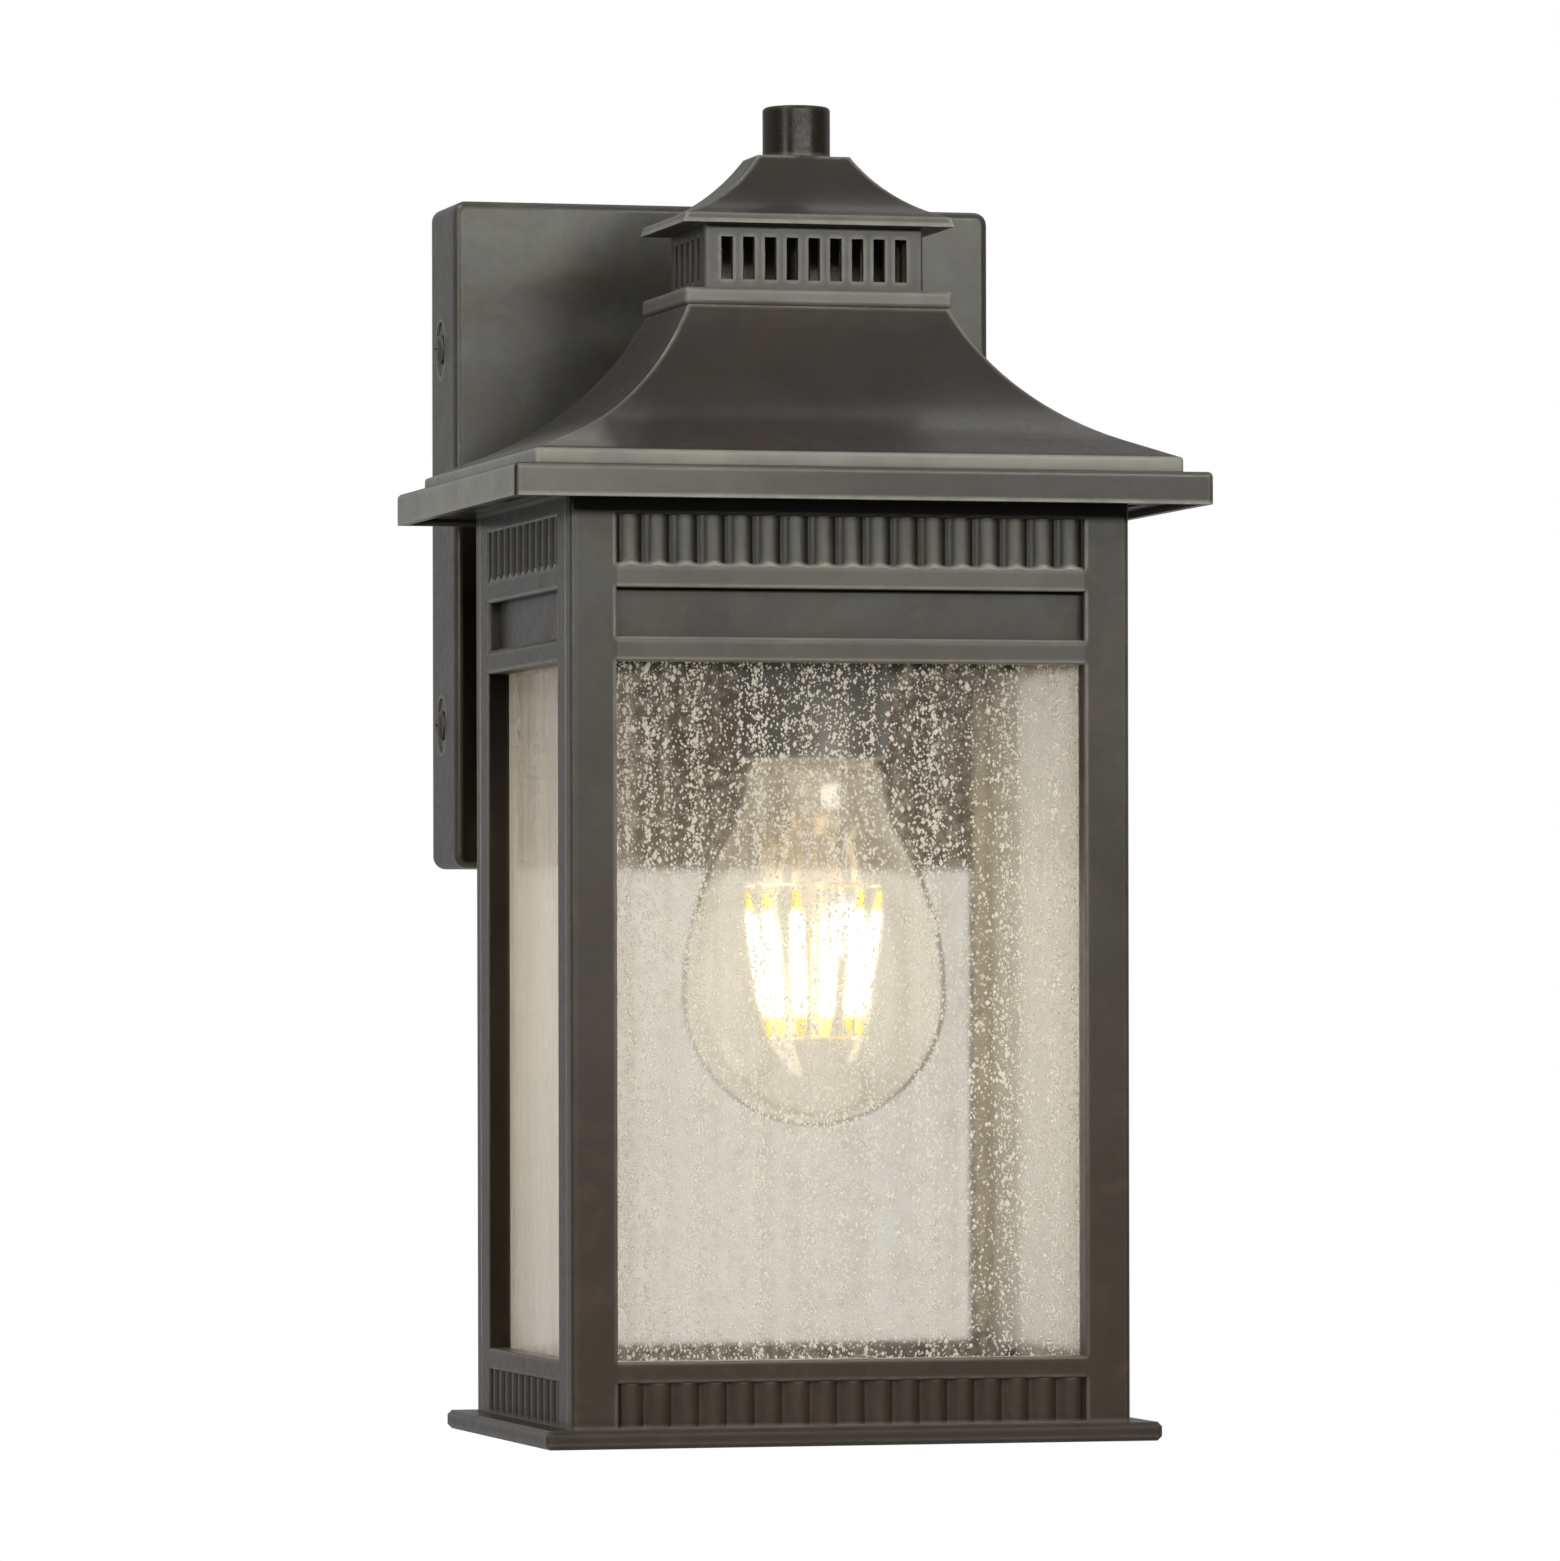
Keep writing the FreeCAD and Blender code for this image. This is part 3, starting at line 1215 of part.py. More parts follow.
def filaments():
    """Light bars in a ring that narrows downward, and the wire tree that holds them."""
    count = int(value("filament_count"))
    spoke, spine = value("spoke_radius"), value("spine_radius")
    top, foot = value("filament_top"), value("filament_foot")
    bars, wires = [], [bar(point("0", "0", "stem_foot"), FreeCAD.Vector(0, 0, foot - 2 * spoke), spine)]
    collar = []
    for k in range(count):
        turn = FreeCAD.Rotation(UPWARD, 360.0 * k / count)
        high = turn.multVec(FreeCAD.Vector(value("filament_top_spread"), 0, top))
        low = turn.multVec(FreeCAD.Vector(value("filament_foot_spread"), 0, foot))
        bars.append(bar(low, high, value("filament_radius")))
        hub = turn.multVec(FreeCAD.Vector(spine / 2, 0, foot - spoke))
        wires.append(bar(hub, low + FreeCAD.Vector(0, 0, -spoke), spoke))
        root = turn.multVec(point("stem_radius + spoke_gap", "0", "filament_top + spoke_radius + spoke_lift"))
        end = turn.multVec(point("filament_top_spread", "0", "filament_top + spoke_radius + spoke_end_lift"))
        collar.append(bar(root, end, spoke))
    tree = wires[0].multiFuse(wires[1:]).removeSplitter()
    for label, solids in (("filaments", bars), ("filament_wires", [tree] + collar)):
        place(solid(label, Part.makeCompound(solids)), "socket_offset", "-axis_reach", "0")


# Leads

def leads():
    """The two leads from the terminals through the arm to their connectors, and the ground lead."""
    radius, bend = value("lead_radius"), value("lead_bend")
    cones = []
    for side, label in (("-", "black_lead"), ("", "white_lead")):
        across = side + "lead_spacing / 2"
        route = [
            point(across, "-axis_reach + post_reach + post_radius + fit_clearance", "arm_level"),
            point(across, "-lead_setback", "arm_level"),
            point(side + "lead_splay", "-lead_setback", "arm_level - lead_drop"),
        ]
        solid(label, tube(bent_path(route, bend), radius))
        heading = (route[2] - route[1]).normalize()
        wide, narrow = value("connector_radius"), value("connector_neck_radius")
        cones.append(Part.makeCone(narrow, wide, value("connector_length"), route[2], heading))
    solid("wire_connectors", Part.makeCompound(cones))
    near, far = "bolt_head_face - ground_lead_radius", "-bracket_wall - ground_lead_radius - fit_clearance"
    tail = [
        point("bolt_spacing / 2 + bolt_head_radius + fit_clearance", near, "arm_level"),
        point("ground_screw_reach", near, "arm_level"),
        point("ground_screw_reach", far, "arm_level - ground_lead_drop"),
        point("ground_screw_reach", far, "ground_head_radius + ground_lead_radius - ground_screw_drop"),
    ]
    path = bent_path(tail, value("ground_lead_bend"))
    solid("ground_lead", tube(path, value("ground_lead_radius")))


back_plate()
mounting_bracket()
wall_screws()
arm()
arm_fixings()
lead_bushing()
cage()
glazing()
base_plate()
panel_screws()
soffit_plate()
main_roof()
cupola()
cap_roof()
finial()
roof_rod()
socket_bracket()
socket_screws()
socket_cup()
socket_body()
socket_metal()
lamp_cap()
bulb_glass()
bulb_stem()
filaments()
leads()

doc.recompute()
for thing in doc.Objects:
    if "Invalid" in thing.State or "Error" in thing.State:
        raise RuntimeError(f"{thing.Label} failed: {thing.State}")
for piece in pieces:
    if piece.Shape.isNull() or not piece.Shape.isValid():
        raise RuntimeError(piece.Label + " has no valid shape")
os.makedirs("parts", exist_ok=True)
for piece in pieces:
    piece.Shape.exportStep(f"parts/{piece.Label}.step")
    print(piece.Label, len(piece.Shape.Solids), round(piece.Shape.Volume, 1))
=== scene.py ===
"""Looks of an outdoor wall lantern.

A bronze painted cage with seeded panes hangs on a back plate under two flared roofs, and a lit
filament lamp shows through the glass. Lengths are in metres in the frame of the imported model:
the wall is the plane y = 0, the lantern stands out towards -y and z points up.
"""

import logging
import math
from dataclasses import dataclass
from enum import Enum
from functools import reduce
from typing import Optional, Union

import bpy
import numpy as np
from mathutils import Matrix, Vector


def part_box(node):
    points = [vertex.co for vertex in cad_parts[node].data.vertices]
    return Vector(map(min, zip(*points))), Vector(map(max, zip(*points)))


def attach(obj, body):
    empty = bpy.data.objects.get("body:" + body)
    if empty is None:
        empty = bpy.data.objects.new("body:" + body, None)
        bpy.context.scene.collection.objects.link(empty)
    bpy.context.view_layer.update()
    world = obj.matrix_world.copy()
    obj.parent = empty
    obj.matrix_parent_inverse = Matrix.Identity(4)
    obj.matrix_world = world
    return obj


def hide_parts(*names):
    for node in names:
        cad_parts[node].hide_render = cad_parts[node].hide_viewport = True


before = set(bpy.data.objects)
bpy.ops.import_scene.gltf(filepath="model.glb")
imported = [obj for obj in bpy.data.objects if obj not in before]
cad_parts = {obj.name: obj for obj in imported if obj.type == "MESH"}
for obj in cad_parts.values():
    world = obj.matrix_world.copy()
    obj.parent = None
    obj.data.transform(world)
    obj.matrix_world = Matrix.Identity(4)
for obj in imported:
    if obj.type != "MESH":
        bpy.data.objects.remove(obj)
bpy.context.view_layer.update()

log = logging.getLogger("wall_lantern")
MM = 0.001
AXIS_Y = -91.0 * MM

Socket = bpy.types.NodeSocket
Tree = bpy.types.NodeTree
Triple = tuple[float, float, float]
Colour = Triple
Feed = Union[float, Triple, Socket]
Faces = tuple[np.ndarray, ...]


# Wiring of materials


class Graph:
    """A node tree that is being wired."""

    def __init__(self, tree: Tree) -> None:
        """Keeps the tree that the nodes go into."""
        self.tree = tree

    def add(self, kind: str, feeds: Optional[dict[Union[str, int], Feed]] = None, **settings: object) -> bpy.types.Node:
        """Adds a shader node.

        Args:
            kind: The node's type without its common prefix.
            feeds: What goes into the inputs, by name or number.
            **settings: Properties to set on the node.

        Returns:
            The new node.
        """
        node = self.tree.nodes.new("ShaderNode" + kind)
        for name, value in settings.items():
            setattr(node, name, value)
        for key, value in (feeds or {}).items():
            self.feed(node.inputs[key], value)
        return node

    def feed(self, target: Socket, value: Feed) -> None:
        """Links a socket to an input, or sets a plain value there."""
        if isinstance(value, Socket):
            self.tree.links.new(value, target)
        else:
            target.default_value = (*value, 1.0) if target.type == "RGBA" else value

    def calc(self, operation: str, first: Feed, second: Feed) -> Socket:
        """Joins two values by a named arithmetic operation."""
        return self.add("Math", {0: first, 1: second}, operation=operation).outputs[0]

    def times(self, first: Feed, second: Feed) -> Socket:
        """Multiplies two values."""
        return self.calc("MULTIPLY", first, second)

    def plus(self, base: Feed, value: Feed, factor: Feed) -> Socket:
        """Adds a value times a factor to a base."""
        return self.add("Math", {0: value, 1: factor, 2: base}, operation="MULTIPLY_ADD").outputs[0]

    def vector(self, operation: str, first: Feed, second: Feed) -> bpy.types.NodeOutputs:
        """Joins two vectors by a named operation and gives the node's outputs."""
        return self.add("VectorMath", {0: first, 1: second}, operation=operation).outputs

    def spread(self, value: Feed, low: float, high: float, start: float = 0.0, end: float = 1.0) -> Socket:
        """Maps the range from low to high to the one from start to end and clips it there."""
        feeds = {"Value": value, "From Min": low, "From Max": high, "To Min": start, "To Max": end}
        return self.add("MapRange", feeds).outputs["Result"]

    def blend(self, share: Feed, first: Feed, second: Feed) -> Socket:
        """Blends two colours, with a share of the second."""
        return self.add("Mix", {0: share, 6: first, 7: second}, data_type="RGBA").outputs[2]

    def join(self, share: Feed, first: Socket, second: Socket) -> Socket:
        """Mixes two shaders, with a share of the second."""
        return self.add("MixShader", {0: share, 1: first, 2: second}).outputs["Shader"]

    def place(self, stretch: Triple = (1.0, 1.0, 1.0)) -> Socket:
        """Gives the point in the piece's own coordinates; a large stretch on an axis makes a pattern fine."""
        point = self.add("TexCoord").outputs["Object"]
        return self.add("Mapping", {"Vector": point, "Scale": stretch}).outputs["Vector"]

    def level(self) -> Socket:
        """Gives the point's level."""
        return self.add("SeparateXYZ", {"Vector": self.place()}).outputs["Z"]

    def within(self, low: Triple, high: Triple, fade: Triple) -> Socket:
        """Gives a mask of a box in the piece's own coordinates.

        Args:
            low: The box's least corner.
            high: The box's greatest corner.
            fade: The width of the soft border on each axis.

        Returns:
            The mask's socket, 1 well inside the box and 0 outside it.
        """
        point = self.place()
        sides = [self.vector("SUBTRACT", *pair)["Vector"] for pair in ((point, low), (high, point))]
        softened = self.vector("DIVIDE", self.vector("MINIMUM", *sides)["Vector"], fade)["Vector"]
        room = self.add("SeparateXYZ", {"Vector": softened}).outputs
        return self.spread(self.calc("MINIMUM", self.calc("MINIMUM", room["X"], room["Y"]), room["Z"]), -0.5, 0.5)

    def noise(self, point: Socket, scale: float, detail: float, roughness: float, distortion: float = 0.0) -> Socket:
        """Gives cloudy noise from 0 to 1; its scale is in cycles in a metre."""
        feeds = {"Vector": point, "Scale": scale, "Detail": detail, "Roughness": roughness, "Distortion": distortion}
        return self.add("TexNoise", feeds).outputs["Fac"]

    def bump(self, height: Socket, strength: float, depth: float) -> Socket:
        """Turns a height from 0 to 1 into a shading normal; a height of 1 is the depth in metres."""
        return self.add("Bump", {"Height": height, "Strength": strength, "Distance": depth}).outputs["Normal"]

    def milk(self, front_share: float, tone: Socket) -> Socket:
        """Gives a scattering shader: a share of the light comes back and the rest goes through."""
        through = self.add("BsdfTranslucent", {"Color": tone}).outputs["BSDF"]
        return self.join(front_share, through, self.add("BsdfDiffuse", {"Color": tone}).outputs["BSDF"])

    def lamps_pass(self, shader: Socket, tint: Colour) -> Socket:
        """Lets shadow and diffuse rays through a plain tint; other rays meet a shader."""
        path, clear = self.add("LightPath").outputs, self.add("BsdfTransparent", {"Color": tint}).outputs["BSDF"]
        return self.join(self.calc("MAXIMUM", path["Is Shadow Ray"], path["Is Diffuse Ray"]), shader, clear)


class Effect(Enum):
    """Surface effects that several finishes share, each built by the shelf's method of that name."""

    PATINA = "patina"
    EDGE_WEAR_AND_SHADE = "edge_wear_and_shade"
    REAM = "ream"
    BRUSHING = "brushing"
    SPECKLE = "speckle"


class EffectShelf:
    """Builds each shared effect once as a node group and places it in materials."""

    def __init__(self) -> None:
        """Starts with no group built."""
        self.built: dict[Effect, Tree] = {}

    def put(self, graph: Graph, effect: Effect, **feeds: Feed) -> dict[str, Socket]:
        """Places an effect in a material.

        Args:
            graph: The material's tree.
            effect: The effect to place.
            **feeds: What goes into the group's inputs, by input name.

        Returns:
            The group's outputs by name.
        """
        if effect not in self.built:
            self.built[effect] = getattr(self, effect.value)()
        node = graph.add("Group", feeds, node_tree=self.built[effect])
        return {socket.name: socket for socket in node.outputs}

    @staticmethod
    def open_group(effect: Effect, **inputs: float) -> tuple[Graph, dict[str, Socket]]:
        """Makes a group with its inputs.

        Args:
            effect: The effect that the group is for.
            **inputs: The usual value of each input.

        Returns:
            The group's tree and its inputs by name.
        """
        tree = bpy.data.node_groups.new(effect.value, "ShaderNodeTree")
        for name, usual in inputs.items():
            tree.interface.new_socket(name=name, in_out="INPUT", socket_type="NodeSocketFloat").default_value = usual
        return Graph(tree), {socket.name: socket for socket in tree.nodes.new("NodeGroupInput").outputs}

    @staticmethod
    def close_group(graph: Graph, **results: Socket) -> Tree:
        """Gives a group its outputs.

        Args:
            graph: The group's tree.
            **results: What each output gives.

        Returns:
            The group's tree.
        """
        for name in results:
            graph.tree.interface.new_socket(name=name, in_out="OUTPUT", socket_type="NodeSocketFloat")
        ending = graph.tree.nodes.new("NodeGroupOutput")
        for name, socket in results.items():
            graph.feed(ending.inputs[name], socket)
        return graph.tree

    def patina(self) -> Tree:
        """Builds clouds, rust blotches, flecks and fine grain from noise at four scales."""
        graph, _ = self.open_group(Effect.PATINA)
        point = graph.place()
        return self.close_group(
            graph,
            Cloud=graph.spread(graph.noise(point, 34.0, 4.0, 0.6, 0.4), 0.3, 0.7),
            Blotch=graph.spread(graph.noise(point, 88.0, 5.0, 0.66, 0.9), 0.5, 0.68),
            Fleck=graph.spread(graph.noise(point, 420.0, 3.0, 0.6), 0.35, 0.7),
            Grain=graph.noise(point, 1900.0, 2.0, 0.6))

    def edge_wear_and_shade(self) -> Tree:
        """Builds masks of edges and crevices: edges are lightened for wear and painted highlight,
        crevices darkened for dirt and painted shade.

        Near an outer edge rays into the piece soon meet another face, and in a crevice rays out of
        it do. The edge share is broken up by noise.
        """
        graph, given = self.open_group(Effect.EDGE_WEAR_AND_SHADE, Reach=1.15 * MM, Depth=2.5 * MM)
        inner = graph.add("AmbientOcclusion", {"Distance": given["Reach"]}, inside=True, only_local=True, samples=4)
        outer = graph.add("AmbientOcclusion", {"Distance": given["Depth"]}, samples=4)
        near_edge = graph.spread(inner.outputs["AO"], 0.98, 0.7)
        kept = graph.spread(graph.noise(graph.place(), 150.0, 4.0, 0.65), 0.36, 0.62, 0.65, 1.0)
        return self.close_group(graph, Edge=graph.times(near_edge, kept),
                                Crevice=graph.spread(outer.outputs["AO"], 0.88, 0.45))

    def ream(self) -> Tree:
        """Builds the drawn lines of old sheet glass: upright streaks and a pebbled skin."""
        graph, given = self.open_group(Effect.REAM, Streaks=1.0, Pebbles=1.0)
        lines = graph.noise(graph.place((1.0, 1.0, 0.045)), 260.0, 3.0, 0.6, 0.25)
        broad = graph.noise(graph.place((1.0, 1.0, 0.1)), 62.0, 2.0, 0.5, 0.6)
        skin = graph.noise(graph.place((1.0, 1.0, 0.75)), 520.0, 2.0, 0.5)
        streaks = graph.times(graph.plus(lines, broad, 2.0), given["Streaks"])
        return self.close_group(graph, Height=graph.plus(streaks, skin, given["Pebbles"]),
                                Shade=graph.spread(lines, 0.35, 0.68))

    def brushing(self) -> Tree:
        """Builds fine drawn scratches along z and a dull stain for bare metal."""
        graph, _ = self.open_group(Effect.BRUSHING)
        return self.close_group(
            graph, Line=graph.noise(graph.place((1.0, 1.0, 0.08)), 2600.0, 3.0, 0.6),
            Stain=graph.spread(graph.noise(graph.place(), 130.0, 4.0, 0.6), 0.35, 0.7))

    def speckle(self) -> Tree:
        """Builds faint dust and fine moulded or fired texture for plastics and glaze."""
        graph, given = self.open_group(Effect.SPECKLE, Fineness=1.0)
        point = graph.vector("MULTIPLY", graph.place(), given["Fineness"])["Vector"]
        return self.close_group(graph, Dust=graph.spread(graph.noise(point, 210.0, 5.0, 0.7), 0.48, 0.75),
                                Skin=graph.noise(point, 1500.0, 2.0, 0.5))


effects = EffectShelf()


# Finishes


@dataclass(frozen=True)
class Finish:
    """A finish with a name; each kind wires its own shader."""

    name: str

    def material(self) -> bpy.types.Material:
        """Gives the finish's material, built at its first use."""
        found = bpy.data.materials.get(self.name)
        if found is not None:
            return found
        made = bpy.data.materials.new(self.name)
        made.use_nodes = True
        made.node_tree.nodes.clear()
        graph = Graph(made.node_tree)
        graph.add("OutputMaterial", {"Surface": self.shade(graph)})
        return made

    def shade(self, graph: Graph) -> Socket:
        """Wires the shader and gives its socket."""
        raise NotImplementedError(self.name)


@dataclass(frozen=True)
class Zone:
    """A box of a piece where its colour has another tone; many zones are painted light and shade.

    Clouds thin its share by the mottle. It lies under the rubbed and highlighted edges or over them, its shine goes
    as far as it is matt, and it may keep to the faces that are turned toward a way.
    """

    tone: Colour
    share: float
    low: Triple = (-1.0, -1.0, -1.0)
    high: Triple = (1.0, 1.0, 1.0)
    fade: Triple = (0.0004, 0.0004, 0.0004)
    mottle: float = 0.0
    over_rub: bool = False
    matt: float = 0.0
    toward: Optional[Triple] = None


def band(tone: Colour, share: float, low: float, high: float = 1.0, **more: object) -> Zone:
    """Gives a zone between two levels, right across a piece."""
    return Zone(tone, share, (-1.0, -1.0, low), (1.0, 1.0, high), **more)


@dataclass(frozen=True)
class AntiqueBronze(Finish):
    """Satin bronze paint: dark umber under an olive grey bloom, with rust blotches and rubbed edges.

    The rubbed edges are lighter for wear and painted highlight, crevices darker for dirt and painted shade,
    and the paint turns browner towards the foot as painted shade.
    """

    umber: Colour = (0.021, 0.017, 0.012)
    olive: Colour = (0.060, 0.058, 0.049)
    rust: Colour = (0.070, 0.037, 0.020)
    # the browner tone towards the foot: painted shade
    foot: Colour = (0.041, 0.022, 0.009)
    # the tone of crevices: dirt and painted shade
    pitch: Colour = (0.007, 0.005, 0.002)
    # the lighter tone of edges: wear and painted highlight
    wear_and_highlight: Colour = (0.36, 0.345, 0.30)
    zones: tuple[Zone, ...] = ()
    foot_shade_share: float = 0.85
    rust_share: float = 0.7
    fleck_share: float = 0.22
    crevice_share: float = 0.8
    wear_and_highlight_share: float = 0.8
    gloss_roughness: float = 0.38
    coat: float = 0.35
    coat_roughness: float = 0.2
    specular: float = 0.5

    @staticmethod
    def mask(graph: Graph, zone: Zone, cloud: Socket) -> Socket:
        """Gives how much of a zone's tone shows.

        Args:
            graph: The material's tree.
            zone: The zone.
            cloud: The clouds that mottle it.

        Returns:
            The share's socket.
        """
        share = graph.spread(cloud, 0.0, 1.0, (1.0 - zone.mottle) * zone.share, zone.share)
        share = graph.times(graph.within(zone.low, zone.high, zone.fade), share)
        if zone.toward is not None:
            turned = graph.vector("DOT_PRODUCT", graph.add("TexCoord").outputs["Normal"], zone.toward)["Value"]
            share = graph.times(share, graph.spread(turned, 0.3, 0.6))
        return share

    def shade(self, graph: Graph) -> Socket:
        """Wires the paint: its tone follows the clouds, turns browner towards the foot, and edges are lighter.

        The browner foot is painted shade, the lighter edges are wear and painted highlight, darker crevices
        are dirt and painted shade, and zones paint other tones, light and shade.
        """
        patina = effects.put(graph, Effect.PATINA)
        edge_masks = effects.put(graph, Effect.EDGE_WEAR_AND_SHADE)
        level = graph.level()
        # painted shade: browner and darker towards the foot, where less light falls
        low = graph.spread(level, -20.0 * MM, -150.0 * MM, 0.0, self.foot_shade_share)
        # the edges' wear and painted highlight fade towards the foot
        edge_wear_and_highlight = graph.spread(level, -20.0 * MM, -170.0 * MM, self.wear_and_highlight_share, 0.4 * self.wear_and_highlight_share)
        masks = [(zone, self.mask(graph, zone, patina["Cloud"])) for zone in self.zones]
        tone = graph.blend(patina["Cloud"], self.umber, self.olive)
        tone = graph.blend(low, tone, self.foot)
        tone = graph.blend(graph.times(patina["Blotch"], self.rust_share), tone, self.rust)
        tone = graph.blend(graph.times(patina["Fleck"], self.fleck_share), tone, self.umber)
        for zone, share in masks:
            tone = tone if zone.over_rub else graph.blend(share, tone, zone.tone)
        # crevices darken: dirt and painted shade
        tone = graph.blend(graph.times(edge_masks["Crevice"], self.crevice_share), tone, self.pitch)
        # edges lighten: wear and painted highlight
        tone = graph.blend(graph.times(edge_masks["Edge"], edge_wear_and_highlight), tone, self.wear_and_highlight)
        for zone, share in masks:
            tone = graph.blend(share, tone, zone.tone) if zone.over_rub else tone
        rough = graph.plus(graph.plus(self.gloss_roughness, patina["Fleck"], 0.08), patina["Blotch"], 0.07)
        normal = graph.bump(graph.plus(patina["Fleck"], patina["Grain"], 0.5), 0.3, 0.06 * MM)
        feeds = {"Base Color": tone, "Roughness": rough, "Normal": normal, "Specular IOR Level": self.specular,
                 "Coat Weight": self.coat, "Coat Roughness": self.coat_roughness}
        dull = [graph.times(share, zone.matt) for zone, share in masks if zone.matt > 0.0]
        if dull:
            dullest = reduce(lambda one, other: graph.calc("MAXIMUM", one, other), dull)
            feeds |= {"Metallic": dullest, "Coat Weight": graph.spread(dullest, 0.0, 1.0, self.coat, 0.0)}
        return graph.add("BsdfPrincipled", feeds).outputs["BSDF"]


@dataclass(frozen=True)
class SheetGlass(Finish):
    """Clear or tinted glass with drawn streaks; lamps shine through it."""

    tint: Colour = (0.825, 0.81, 0.77)
    shaded: Colour = (0.78, 0.765, 0.72)
    roughness: float = 0.14
    streaks: float = 1.0
    pebbles: float = 0.3
    relief: float = 0.03 * MM
    ior: float = 1.22
    glow: Optional[Colour] = None
    neck_glow: Colour = (0.055, 0.047, 0.036)
    neck_foot: float = -74.0 * MM
    globe_top: float = -86.0 * MM
    coat: float = 0.0
    haze: float = 0.0

    def shade(self, graph: Graph) -> Socket:
        """Wires the glass: streaks tint and bend it, a lit lamp's glass has a painted glow, and slanting views are
        hazy.
        """
        ream = effects.put(graph, Effect.REAM, Streaks=self.streaks, Pebbles=self.pebbles)
        tone = graph.blend(ream["Shade"], self.tint, self.shaded)
        feeds = {"Base Color": tone, "Normal": graph.bump(ream["Height"], 1.0, self.relief),
                 "Roughness": self.roughness, "IOR": self.ior, "Transmission Weight": 1.0}
        # painted glow: the lamp's glass glows, with one tone on the neck and another on the globe, for light from the
        # bars scattered in it
        if self.glow is not None:
            globe = graph.spread(graph.level(), self.neck_foot, self.globe_top)
            feeds |= {"Emission Color": graph.blend(globe, self.neck_glow, self.glow),
                      "Emission Strength": 1.0, "Coat Weight": self.coat}
        glass = graph.add("BsdfPrincipled", feeds).outputs["BSDF"]
        if self.haze > 0.0:
            slant = graph.spread(graph.add("LayerWeight", {"Blend": 0.5}).outputs["Facing"], 0.45, 0.8)
            streaky = graph.spread(ream["Shade"], 0.0, 1.0, 0.75 * self.haze, 1.2 * self.haze)
            glass = graph.join(graph.times(slant, streaky), glass, graph.milk(0.5, tone))
        return graph.lamps_pass(glass, self.tint)


@dataclass(frozen=True)
class SeedAir(Finish):
    """The skin of an air seed in glass: light bends a little where it enters the air, and some is scattered.

    It also has a faint painted glow that stands in for glints of the lamps.
    """

    ior: float = 0.97
    roughness: float = 0.08
    milk: float = 0.6
    front_share: float = 0.75
    # a faint painted glow of the seeds, standing in for glints of the lamps
    painted_glow: Colour = (0.10, 0.09, 0.073)
    clear: Colour = (1.0, 0.985, 0.95)
    clouded: Colour = (0.94, 0.92, 0.88)

    def shade(self, graph: Graph) -> Socket:
        """Wires the skin: clear with a share that scatters light and a faint painted glow, and lamps shine past it."""
        tone = graph.blend(effects.put(graph, Effect.SPECKLE)["Skin"], self.clear, self.clouded)
        skin = graph.add("BsdfPrincipled", {
            "Base Color": tone, "Roughness": self.roughness, "IOR": self.ior, "Transmission Weight": 1.0,
            "Emission Color": self.painted_glow, "Emission Strength": 1.0}).outputs["BSDF"]
        milky = graph.join(self.milk, skin, graph.milk(self.front_share, tone))
        return graph.lamps_pass(milky, (1.0, 1.0, 1.0))


@dataclass(frozen=True)
class BareMetal(Finish):
    """Plated or plain metal with drawn lines and dull stains."""

    bright: Colour = (0.62, 0.62, 0.60)
    dull: Colour = (0.42, 0.41, 0.39)
    roughness: float = 0.3

    def shade(self, graph: Graph) -> Socket:
        """Wires the metal: stains dull it, lines roughen it, crevices dull it for dirt and painted shade, and
        edges are rubbed bright.
        """
        lines = effects.put(graph, Effect.BRUSHING)
        edge_masks = effects.put(graph, Effect.EDGE_WEAR_AND_SHADE, Reach=0.5 * MM, Depth=3.0 * MM)
        tone = graph.blend(lines["Stain"], self.bright, self.dull)
        # crevices dull: dirt and painted shade
        tone = graph.blend(graph.times(edge_masks["Crevice"], 0.5), tone, self.dull)
        tone = graph.blend(graph.times(edge_masks["Edge"], 0.5), tone, self.bright)
        rough = graph.plus(graph.plus(self.roughness - 0.06, lines["Line"], 0.16), lines["Stain"], 0.1)
        return graph.add("BsdfPrincipled", {
            "Base Color": tone, "Roughness": rough, "Normal": graph.bump(lines["Line"], 0.25, 0.04 * MM),
            "Metallic": 1.0}).outputs["BSDF"]


@dataclass(frozen=True)
class MouldedSkin(Finish):
    """Plastic, rubber, glaze or paint with a fine skin and a little dust."""

    tone: Colour
    dusty: Colour
    roughness: float
    fineness: float = 1.0

    def shade(self, graph: Graph) -> Socket:
        """Wires the skin: dust lightens and roughens it, fine relief breaks its shine."""
        speckle = effects.put(graph, Effect.SPECKLE, Fineness=self.fineness)
        tone = graph.blend(graph.times(speckle["Dust"], 0.7), self.tone, self.dusty)
        rough = graph.plus(self.roughness, speckle["Dust"], 0.18)
        return graph.add("BsdfPrincipled", {
            "Base Color": tone, "Roughness": rough,
            "Normal": graph.bump(speckle["Skin"], 0.3, 0.05 * MM)}).outputs["BSDF"]


